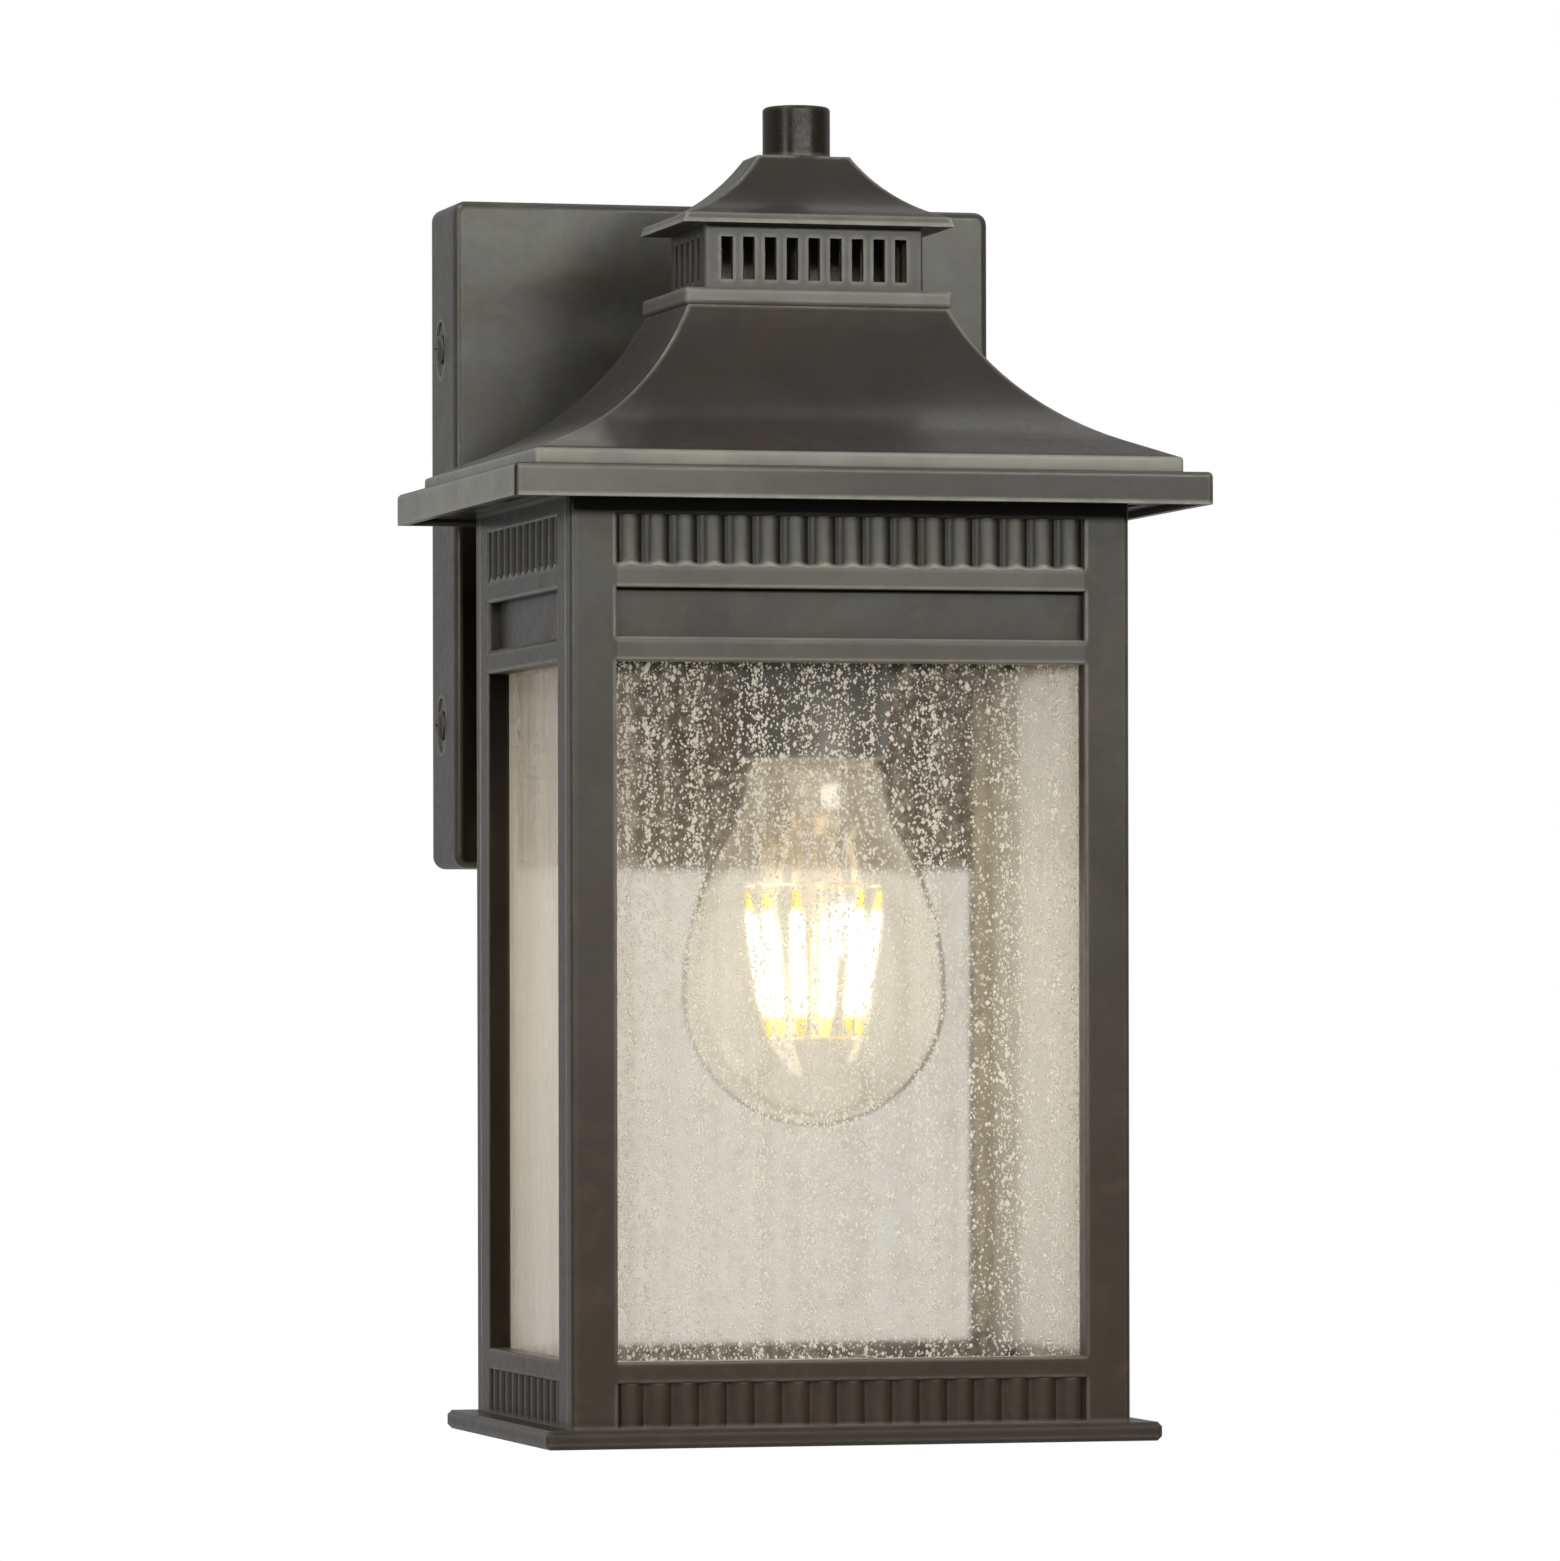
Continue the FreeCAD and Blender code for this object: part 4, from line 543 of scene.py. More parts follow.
@dataclass(frozen=True)
class LightBar(Finish):
    """A lit phosphor bar: pale at its middle and yellow where the coating ends."""

    core: Colour = (1.0, 0.92, 0.78)
    dim_end: Colour = (0.95 * 0.2, 0.66 * 0.2, 0.10 * 0.2)
    coating: Colour = (0.95, 0.80, 0.32)
    speckled: Colour = (0.90, 0.70, 0.22)
    upper_end: float = -88.8 * MM
    lower_end: float = -111.4 * MM
    fade: float = 1.4 * MM
    strength: float = 4.5

    def shade(self, graph: Graph) -> Socket:
        """Wires the glow: full along the middle, falling to a yellow share at both ends."""
        level = graph.level()
        above = graph.spread(level, self.upper_end - self.fade, self.upper_end + self.fade)
        below = graph.spread(level, self.lower_end + self.fade, self.lower_end - self.fade)
        skin = effects.put(graph, Effect.SPECKLE)["Skin"]
        return graph.add("BsdfPrincipled", {
            "Base Color": graph.blend(skin, self.coating, self.speckled), "Roughness": 0.5,
            "Normal": graph.bump(skin, 0.3, 0.05 * MM), "Emission Strength": self.strength,
            "Emission Color": graph.blend(graph.calc("MAXIMUM", above, below), self.core, self.dim_end),
        }).outputs["BSDF"]


# a light tone for bloom and painted highlights
BLOOM_AND_HIGHLIGHT: Colour = (0.21, 0.20, 0.17)
# a pale tone for painted highlights and painted light
PALE_HIGHLIGHT: Colour = (0.42, 0.41, 0.35)
# near black for painted shade and painted shadows
SHADE_BLACK: Colour = (0.007, 0.005, 0.002)
LAMPLIT: Colour = (0.82, 0.76, 0.67)
UMBER: Colour = (0.018, 0.013, 0.009)
SHADED: Colour = (0.100, 0.064, 0.036)
VENT: Colour = (0.028, 0.024, 0.019)
# a dark brown for painted shade inside the cupola
CUPOLA_SHADE: Colour = (0.10, 0.083, 0.055)
SEAM: Triple = (0.0004, 0.0004, 0.0002)
THIN: Triple = (0.0004, 0.0002, 0.0002)
BRONZE = AntiqueBronze("antique_bronze")
ROOF_BRONZE = AntiqueBronze("roof_bronze", zones=(
    # painted highlight along the lip
    band(PALE_HIGHLIGHT, 0.85, 0.0084, 0.0124, mottle=0.45),
    # painted light and shade: the eave's front is lighter at its left end and darker at its right
    Zone(UMBER, 0.6, (-0.03, -1.0, 0.0010), (1.0, -0.1515, 0.0084), (0.06, 0.0004, 0.0004), mottle=0.3),
    Zone(BLOOM_AND_HIGHLIGHT, 0.45, (-1.0, -1.0, 0.0010), (-0.03, -0.1515, 0.0084), (0.06, 0.0004, 0.0004), mottle=0.3),
    band(UMBER, 0.6, 0.0130, 0.0470, fade=(0.0004, 0.0004, 0.012), mottle=0.3),
    band(UMBER, 0.6, 0.0512, 0.0654, mottle=0.3),
    band(UMBER, 0.65, 0.0690, mottle=0.3),
    # lighter collar and cap fascia: rubbed trims with painted highlight
    band(BLOOM_AND_HIGHLIGHT, 0.6, 0.0470, 0.0512, mottle=0.45),
    band(BLOOM_AND_HIGHLIGHT, 0.6, 0.0654, 0.0677, mottle=0.45),
    # painted light on the eave's left end and a painted reflection on the roof's left slope
    Zone(PALE_HIGHLIGHT, 0.75, (-1.0, -1.0, 0.0010), (-0.0792, 1.0, 0.0124), mottle=0.3),
    Zone(PALE_HIGHLIGHT, 0.65, (-1.0, -1.0, 0.0125), (-0.058, 1.0, 0.0165), (0.008, 0.0004, 0.009), mottle=0.3,
         toward=(-0.75, 0.0, 0.66)),
    band(VENT, 0.75, 0.0515, 0.0652, mottle=0.3, over_rub=True),
    # painted shade inside the cupola, seen through its slots
    Zone(CUPOLA_SHADE, 0.97, (-0.0252, -0.1062, 0.0500), (0.0252, -0.0758, 0.0670), over_rub=True, matt=0.4),
    # painted shade in the grooves above and below the lip, and along the eave's front left corner
    band(SHADE_BLACK, 0.8, 0.0083, 0.0089, fade=SEAM, over_rub=True, matt=0.6),
    band(SHADE_BLACK, 0.7, 0.0121, 0.0126, fade=SEAM, over_rub=True, matt=0.6),
    Zone(SHADE_BLACK, 0.9, (-1.0, -1.0, 0.0010), (-0.0788, -0.1511, 0.0088), over_rub=True, matt=0.5)))
FRONT_BRONZE = AntiqueBronze("front_bronze", zones=(
    Zone(BLOOM_AND_HIGHLIGHT, 0.35, (-0.0535, -1.0, -0.0177), (0.0535, -0.1383, -0.0131), mottle=0.3),
    Zone(BLOOM_AND_HIGHLIGHT, 0.22, (-0.0535, -1.0, -0.0338), (0.0535, -0.1383, -0.0284), mottle=0.3),
    # painted highlight on the reeds' crowns
    Zone(BLOOM_AND_HIGHLIGHT, 0.4, (-0.0535, -1.0, -0.0120), (0.0535, -0.13805, -0.0020), (0.0004, 0.0003, 0.0004), mottle=0.4),
    # painted highlight along the sill under the blank field
    Zone(PALE_HIGHLIGHT, 0.75, (-0.0535, -1.0, -0.0291), (0.0535, -0.1375, -0.0284), (0.0004, 0.0004, 0.0003),
         mottle=0.4, over_rub=True),
    # painted shade between the reeds, painted shadows under the rail above the blank and under the eave, and painted
    # shade along the front left corner
    Zone(SHADE_BLACK, 0.8, (-0.0535, -0.1377, -0.0120), (0.0535, -0.13, -0.0016), over_rub=True, matt=0.4),
    Zone(SHADE_BLACK, 0.9, (-0.0535, -0.1381, -0.0184), (0.0535, -0.1, -0.0176), THIN, over_rub=True, matt=0.8),
    band(SHADE_BLACK, 0.92, -0.0020, fade=(0.0004, 0.0004, 0.0014), over_rub=True, matt=0.4),
    Zone(SHADE_BLACK, 0.7, high=(-0.0636, -0.1380, 1.0), over_rub=True)))
SIDE_BRONZE = AntiqueBronze("side_bronze", zones=(
    Zone(LAMPLIT, 0.8, (-0.0593, -1.0, -0.1850), (0.0593, 1.0, -0.0370), (0.0004, 0.0004, 0.004), mottle=0.6,
         over_rub=True),
    # painted shadow on the reveal beside the left back post
    Zone(SHADE_BLACK, 0.95, (-0.0637, -0.0568, -0.1890), (-0.0589, -0.0558, -0.0330), (0.0002, 0.0004, 0.0004),
         over_rub=True, matt=0.9)))
BACK_BRONZE = AntiqueBronze("back_bronze", zones=(
    Zone(LAMPLIT, 0.8, (-1.0, -1.0, -0.1850), (1.0, -0.0482, -0.0370), (0.0004, 0.0004, 0.004), mottle=0.6,
         over_rub=True),))
PLATE_BRONZE = AntiqueBronze("plate_bronze", zones=(
    Zone(SHADED, 0.9, high=(1.0, -0.0243, 0.0), fade=(0.0004, 0.0004, 0.03), over_rub=True),
    # painted shadow of the cage on the plate's lower left, and painted shade along its front left corner
    Zone(SHADE_BLACK, 0.93, high=(-0.054, -0.0243, 0.0), fade=(0.004, 0.0004, 0.03), over_rub=True, matt=0.95),
    Zone(SHADE_BLACK, 0.7, high=(-0.0641, -0.0240, 1.0), over_rub=True)))
FINIAL_BRONZE = AntiqueBronze("finial_bronze", zones=(Zone(UMBER, 0.9, mottle=0.2),), wear_and_highlight_share=0.25,
                              gloss_roughness=0.22, coat=0.0, specular=0.28)
BASE_BRONZE = AntiqueBronze("base_bronze", zones=(Zone(UMBER, 0.45, mottle=0.3),))
CUP_BRONZE = AntiqueBronze("cup_bronze", zones=(Zone(BLOOM_AND_HIGHLIGHT, 0.35, mottle=0.4),))
SCREW_BRONZE = AntiqueBronze("screw_bronze", wear_and_highlight_share=0.25)
# lighter toes: painted highlight where the reeds' feet catch the light
TOE_BRONZE = AntiqueBronze("toe_bronze", zones=(Zone(BLOOM_AND_HIGHLIGHT, 0.8, mottle=0.3),))
SEEDED = SheetGlass("seeded_sheet", haze=0.5)
SEED_SKIN = SeedAir("seed_air")
LAMP_GLASS = dict(tint=(0.99, 0.985, 0.97), shaded=(0.97, 0.965, 0.945), roughness=0.0, streaks=0.15, pebbles=0.0,
                  relief=0.04 * MM, ior=1.05)
# the lamp's glass and stem have a painted glow
BULB_CLEAR = SheetGlass("blown_clear", **LAMP_GLASS, glow=(0.032, 0.025, 0.0154), coat=1.0)
STEM_CLEAR = SheetGlass("stem_clear", **LAMP_GLASS, glow=(0.16, 0.135, 0.10), neck_glow=(0.08, 0.066, 0.052))
ZINC = BareMetal("zinc_plate")
BLACKENED = BareMetal("blackened_steel", (0.09, 0.085, 0.08), (0.05, 0.045, 0.04), 0.42)
BRASS = BareMetal("plain_brass", (0.76, 0.56, 0.26), (0.52, 0.36, 0.15), 0.28)
COPPER = BareMetal("bare_copper", (0.78, 0.40, 0.24), (0.50, 0.24, 0.14), 0.32)
WARM_WIRE = BareMetal("warm_wire", (0.90, 0.82, 0.66), (0.80, 0.70, 0.52), 0.4)
CAP_METAL = BareMetal("cap_metal", (0.80, 0.79, 0.75), (0.58, 0.56, 0.52), 0.24)
GREEN_PAINT = MouldedSkin("green_paint", (0.05, 0.27, 0.08), (0.12, 0.30, 0.13), 0.35)
PORCELAIN = MouldedSkin("white_glaze", (0.84, 0.83, 0.79), (0.74, 0.72, 0.66), 0.16, 0.6)
BLACK_GLASS = MouldedSkin("black_insulator", (0.02, 0.02, 0.02), (0.06, 0.06, 0.06), 0.12, 0.8)
BLACK_WIRE = MouldedSkin("black_insulation", (0.022, 0.022, 0.023), (0.07, 0.07, 0.068), 0.42)
WHITE_WIRE = MouldedSkin("white_insulation", (0.80, 0.80, 0.77), (0.66, 0.65, 0.60), 0.42)
NUT_PLASTIC = MouldedSkin("orange_plastic", (0.80, 0.27, 0.05), (0.62, 0.30, 0.12), 0.4)
BUSHING_PLASTIC = MouldedSkin("black_plastic_skin", (0.03, 0.03, 0.03), (0.09, 0.088, 0.085), 0.48)
LIT_BAR = LightBar("lit_phosphor")


# Surfaces worked out as arrays


def ring_faces(rings: int, around: int) -> tuple[np.ndarray, np.ndarray]:
    """Gives the faces of a closed stack of rings between two poles.

    Point 0 is the first pole, then come the rings one after another, and the last point is the
    other pole. Ring i and ring i + 1 are joined by quads; each pole is joined by a fan.

    Args:
        rings: How many rings there are.
        around: How many points each ring has.

    Returns:
        The triangles and the quads as rows of point numbers.
    """
    step = np.arange(around)
    after = (step + 1) % around
    grid = 1 + np.arange(rings - 1)[:, None] * around
    quads = np.stack([grid + step, grid + after, grid + around + after, grid + around + step], -1).reshape(-1, 4)
    last = 1 + (rings - 1) * around
    first_fan = np.stack([np.zeros(around, int), 1 + after, 1 + step], -1)
    last_fan = np.stack([np.full(around, last + around), last + step, last + after], -1)
    return np.concatenate([first_fan, last_fan]), quads


def angles(around: int) -> np.ndarray:
    """Gives the angles of the points of a ring, as one row."""
    return np.linspace(0.0, 2.0 * math.pi, around, endpoint=False)[None, :]


def ramp(values: np.ndarray, start: float, width: float) -> np.ndarray:
    """Rises from 0 at a start to 1 after a width; a width below 0 makes it fall to 0 at the start."""
    return np.clip((values - start) / width, 0.0, 1.0)


def stack(levels: np.ndarray, radii: np.ndarray, around: int) -> np.ndarray:
    """Turns a profile about z: rows of levels and radii are rings, with a column for each angle or one for all."""
    radii, levels, turn = np.broadcast_arrays(radii, levels, angles(around))
    return np.stack([radii * np.cos(turn), radii * np.sin(turn), levels], -1)


def closed_turning(rings: np.ndarray) -> np.ndarray:
    """Adds the two poles, each the mean of its end ring, to a stack of rings."""
    return np.concatenate([rings[0].mean(0)[None], rings.reshape(-1, 3), rings[-1].mean(0)[None]])


def copies(points: np.ndarray, faces: Faces, places: np.ndarray,
           turns: Optional[np.ndarray] = None) -> tuple[np.ndarray, Faces]:
    """Repeats a shape: each copy is turned by its own matrix and moved to its own place.

    Args:
        points: The shape's points.
        faces: The shape's faces, as arrays of point numbers.
        places: Where the copies stand.
        turns: A 3 by 3 matrix for each copy, or None.

    Returns:
        All points and all faces.
    """
    count = len(places)
    turns = np.broadcast_to(np.eye(3), (count, 3, 3)) if turns is None else turns
    all_points = np.einsum("kij,nj->kni", turns, points) + places[:, None, :]
    offset = np.arange(count)[:, None, None] * len(points)
    return all_points.reshape(-1, 3), tuple((f[None] + offset).reshape(-1, f.shape[1]) for f in faces)


def facing(axis: Triple) -> np.ndarray:
    """Gives the matrix that turns +z to an axis."""
    return np.array(Vector((0.0, 0.0, 1.0)).rotation_difference(Vector(axis)).to_matrix())


def make_piece(name: str, points: np.ndarray, faces: Faces, finish: Finish, body: str,
               stands_for: tuple[str, ...] = ()) -> None:
    """Makes a smooth mesh piece that rides on a body.

    Args:
        name: The piece's name.
        points: Its points.
        faces: Its faces, as arrays of point numbers.
        finish: Its finish.
        body: The body that it rides on.
        stands_for: The nodes that it replaces.
    """
    mesh = bpy.data.meshes.new(name)
    corners = np.concatenate([f.reshape(-1) for f in faces]).astype(np.int32)
    sizes = np.concatenate([np.full(len(f), f.shape[1]) for f in faces])
    starts = np.concatenate([[0], np.cumsum(sizes)[:-1]]).astype(np.int32)
    mesh.vertices.add(len(points))
    mesh.vertices.foreach_set("co", np.ascontiguousarray(points, np.float32).reshape(-1))
    mesh.loops.add(len(corners))
    mesh.loops.foreach_set("vertex_index", corners)
    mesh.polygons.add(len(starts))
    mesh.polygons.foreach_set("loop_start", starts)
    mesh.polygons.foreach_set("use_smooth", np.ones(len(starts), bool))
    mesh.update(calc_edges=True)
    mesh.validate()
    mesh.materials.append(finish.material())
    made = bpy.data.objects.new(name, mesh)
    bpy.context.scene.collection.objects.link(made)
    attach(made, body)
    if stands_for:
        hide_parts(*stands_for)
    log.info("%s: %d points on %s", name, len(points), body)


def dress(finish: Finish, *nodes: str) -> None:
    """Gives a finish to carried-over nodes.

    Args:
        finish: The finish.
        *nodes: The nodes' names.
    """
    for node in nodes:
        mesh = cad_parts[node].data
        mesh.materials.clear()
        mesh.materials.append(finish.material())
        log.info("%s: dressed in %s", node, finish.name)


# Sub-assemblies


@dataclass
class Housing:
    """The painted metal of the lantern and its plate, and the plated pieces that hold it."""

    dressing: tuple[tuple[Finish, tuple[str, ...]], ...] = (
        (BRONZE, ("arm", "soffit_plate")),
        (ROOF_BRONZE, ("main_roof", "cupola", "cap_roof")),
        (FRONT_BRONZE, ("front_panel",)),
        (SIDE_BRONZE, ("left_panel", "right_panel")),
        (BACK_BRONZE, ("back_panel",)),
        (PLATE_BRONZE, ("back_plate",)),
        (FINIAL_BRONZE, ("finial",)),
        (BASE_BRONZE, ("base_plate",)),
        (CUP_BRONZE, ("socket_cup",)),
        (ZINC, ("mounting_bracket", "arm_bolts", "arm_nuts", "socket_bracket", "bracket_screws", "socket_screws",
                "top_screws")),
        (BLACKENED, ("roof_rod", "rod_nuts", "glass_clips")))

    def build(self) -> None:
        """Dresses the nodes."""
        for finish, nodes in self.dressing:
            dress(finish, *nodes)


@dataclass
class ReedToes:
    """Small toes on the sills of the upper friezes, on which the reeds stand."""

    pitch: float = 6.3 * MM
    foot: float = -12.3 * MM
    bevel: float = 0.8 * MM
    rise: float = 0.75 * MM
    crown: float = 0.22 * MM
    root: float = 1.1 * MM
    lift: float = 0.03 * MM
    bulge: float = 0.05 * MM
    end_gap: float = 0.4 * MM
    lip: float = 0.3 * MM
    slope: float = 0.1 * MM
    heel: float = 0.2 * MM
    sink_share: float = 0.95
    front_reeds: int = 17
    side_reeds: int = 11
    front_face: float = -138.5 * MM
    side_face: float = 64.0 * MM
    sharpness: float = 1.4
    steps: int = 12

    def strip(self, name: str, reeds: int, place: Triple, turn: float) -> None:
        """Makes a strip of toes: a closed section carried along a sill.

        At share c, the cosine of the way across a reed raised from 0 to 1, the section's top stands
        c times the rise over the sill and its front leans from the sill's edge to the reed's crown.

        Args:
            name: The strip's name.
            reeds: How many reeds stand on it.
            place: The middle of the panel's outer face.
            turn: The angle about z that takes the front to that face.
        """
        along = np.linspace(-0.5, 0.5, reeds * self.steps + 1)[:, None] * (reeds * self.pitch - self.end_gap)
        swell = (0.5 + 0.5 * np.cos(2.0 * math.pi * along / self.pitch)) ** self.sharpness
        low = np.full_like(swell, self.foot - self.sink_share * self.bevel)
        top = self.foot + self.lift + self.rise * swell
        edge = np.full_like(swell, self.lift)
        lean = self.bevel * (1.0 - swell) + self.crown * swell
        inside = lean + self.lip
        deep = np.full_like(swell, self.root)
        third, bulge = (top - low) / 3.0, self.bulge * swell
        levels = np.concatenate([low, low, top - self.slope, top, top - third, top - 2.0 * third], 1)
        depths = np.concatenate([edge, deep, np.maximum(inside, deep - self.heel), lean,
                                 (2.0 * lean + edge) / 3.0 - bulge, (lean + 2.0 * edge) / 3.0 - bulge], 1)
        rings = np.stack([np.broadcast_to(along, levels.shape), depths, levels], -1)
        points = closed_turning(rings) @ np.array(Matrix.Rotation(turn, 3, "Z")).T + np.array(place)
        make_piece(name, points, ring_faces(len(along), levels.shape[1]), TOE_BRONZE, "lantern")

    def build(self) -> None:
        """Makes the strips of the front and of both sides."""
        self.strip("front_toes", self.front_reeds, (0.0, self.front_face, 0.0), 0.0)
        for name, side in (("left_toes", -1.0), ("right_toes", 1.0)):
            self.strip(name, self.side_reeds, (side * self.side_face, AXIS_Y, 0.0), side * math.pi / 2.0)


class Window(Enum):
    """The four panes by node."""

    FRONT = "front_glass"
    BACK = "back_glass"
    LEFT = "left_glass"
    RIGHT = "right_glass"


@dataclass
class Glazing:
    """Four seeded panes: drawn sheets with air seeds scattered inside them."""

    seeds_per_area: float = 1.8 / (MM * MM)
    most_in_piece: int = 24000
    median_radius: float = 0.2 * MM
    radius_spread: float = 0.42
    drawn_out: tuple[float, float] = (0.9, 1.7)
    least_radius: float = 0.09 * MM
    most_radius: float = 0.7 * MM
    streak_share: float = 0.4
    streak_pitch: float = 3.0 * MM
    streak_width: float = 0.5 * MM
    cover: float = 0.2 * MM
    edge: float = 1.2 * MM
    relief: float = 0.012 * MM
    play: float = 0.06 * MM
    waves: tuple[float, ...] = (3.1 * MM, 5.3 * MM, 9.7 * MM, 17.0 * MM)
    drift: float = 1.5
    drift_length: float = 40.0 * MM
    steps: int = 64
    rows: int = 96
    wave_seed: int = 31
    scatter_seed: int = 11

    @staticmethod
    def room(window: Window, seed: int) -> tuple[np.ndarray, np.ndarray, int, np.random.Generator]:
        """Gives a pane's least and greatest corner, the number of its thin axis and a source of chance."""
        low, high = (np.array(corner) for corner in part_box(window.value))
        return low, high, int(np.argmin(high - low)), np.random.default_rng(list(Window).index(window) + seed)

    def pane(self, window: Window) -> None:
        """Makes a pane: a thin rectangle carried upward, with faint drawn waves on both faces.

        A wave's height at a place along the pane is the sum of four sines of different lengths whose
        phase drifts slowly with the level. A little play keeps the pane clear of its frame.

        Args:
            window: The pane.
        """
        low, high, across, chance = self.room(window, self.wave_seed)
        half, middle = (high - low) / 2.0, (high + low) / 2.0
        way = np.linspace(-1.0, 1.0, self.steps)
        along = np.concatenate([way, way[::-1]])[None, :] * (half[1 - across] - self.play)
        side = np.repeat([-1.0, 1.0], self.steps)[None, :]
        level = np.linspace(-1.0, 1.0, self.rows)[:, None] * (half[2] - self.play)
        wave = np.zeros((self.rows, 2 * self.steps))
        for length in self.waves:
            start, drift_start = chance.uniform(0.0, 6.3, 2)
            lag = self.drift * np.sin(level / self.drift_length + drift_start)
            wave += np.sin(2.0 * math.pi * along / length + start + side + lag)
        thick = side * (half[across] - self.play) - side * self.relief * (1.0 + wave / len(self.waves))
        rings = np.stack([np.broadcast_to(along, wave.shape), thick, np.broadcast_to(level, wave.shape)], -1)
        if across == 0:
            rings = rings[..., [1, 0, 2]] * np.array([-1.0, 1.0, 1.0])
        points = closed_turning(rings) + middle
        name = window.name.lower() + "_pane"
        faces = ring_faces(self.rows, 2 * self.steps)
        make_piece(name, points, faces, SEEDED, "lantern", (window.value,))

    def scatter(self, window: Window) -> None:
        """Scatters seeds in a pane: some evenly and some in upright streaks.

        A seed is an eight-sided ball with a radius spread about a median, drawn out upward.

        Args:
            window: The pane.
        """
        low, high, across, chance = self.room(window, self.scatter_seed)
        face = np.delete(high - low, across)
        count = int(self.seeds_per_area * face[0] * face[1])
        radius = self.median_radius * np.exp(chance.normal(0.0, self.radius_spread, count))
        radius = np.clip(radius, self.least_radius, self.most_radius)
        sizes = np.repeat(radius[:, None], 3, 1)
        sizes[:, 2] *= chance.uniform(*self.drawn_out, count)
        margin = np.full((count, 3), self.edge)
        margin[:, across] = self.cover
        room = high - low - 2 * (margin + sizes)
        shares = chance.uniform(0.0, 1.0, (count, 3))
        along = 1 - across
        streaks = int((high - low)[along] / self.streak_pitch)
        middle = chance.uniform(0.0, 1.0, streaks)[chance.integers(0, streaks, count)]
        middle += chance.normal(0.0, self.streak_width, count) / (high - low)[along]
        drawn = chance.uniform(0.0, 1.0, count) < self.streak_share
        shares[:, along] = np.clip(np.where(drawn, middle, shares[:, along]), 0.0, 1.0)
        places = shares * room + low + margin + sizes
        shape = np.concatenate([[[0.0, 0.0, -1.0]], stack(np.zeros((1, 1)), np.ones((1, 1)), 4)[0], [[0.0, 0.0, 1.0]]])
        turns = np.einsum("ki,ij->kij", sizes, np.eye(3))
        for batch, start in enumerate(range(0, count, self.most_in_piece)):
            part = slice(start, start + self.most_in_piece)
            points, all_faces = copies(shape, ring_faces(1, 4), places[part], turns[part])
            name = f"{window.name.lower()}_seeds_{batch + 1}"
            make_piece(name, points, all_faces, SEED_SKIN, "lantern")

    def build(self) -> None:
        """Makes the panes and fills them with seeds."""
        for window in Window:
            self.pane(window)
            self.scatter(window)


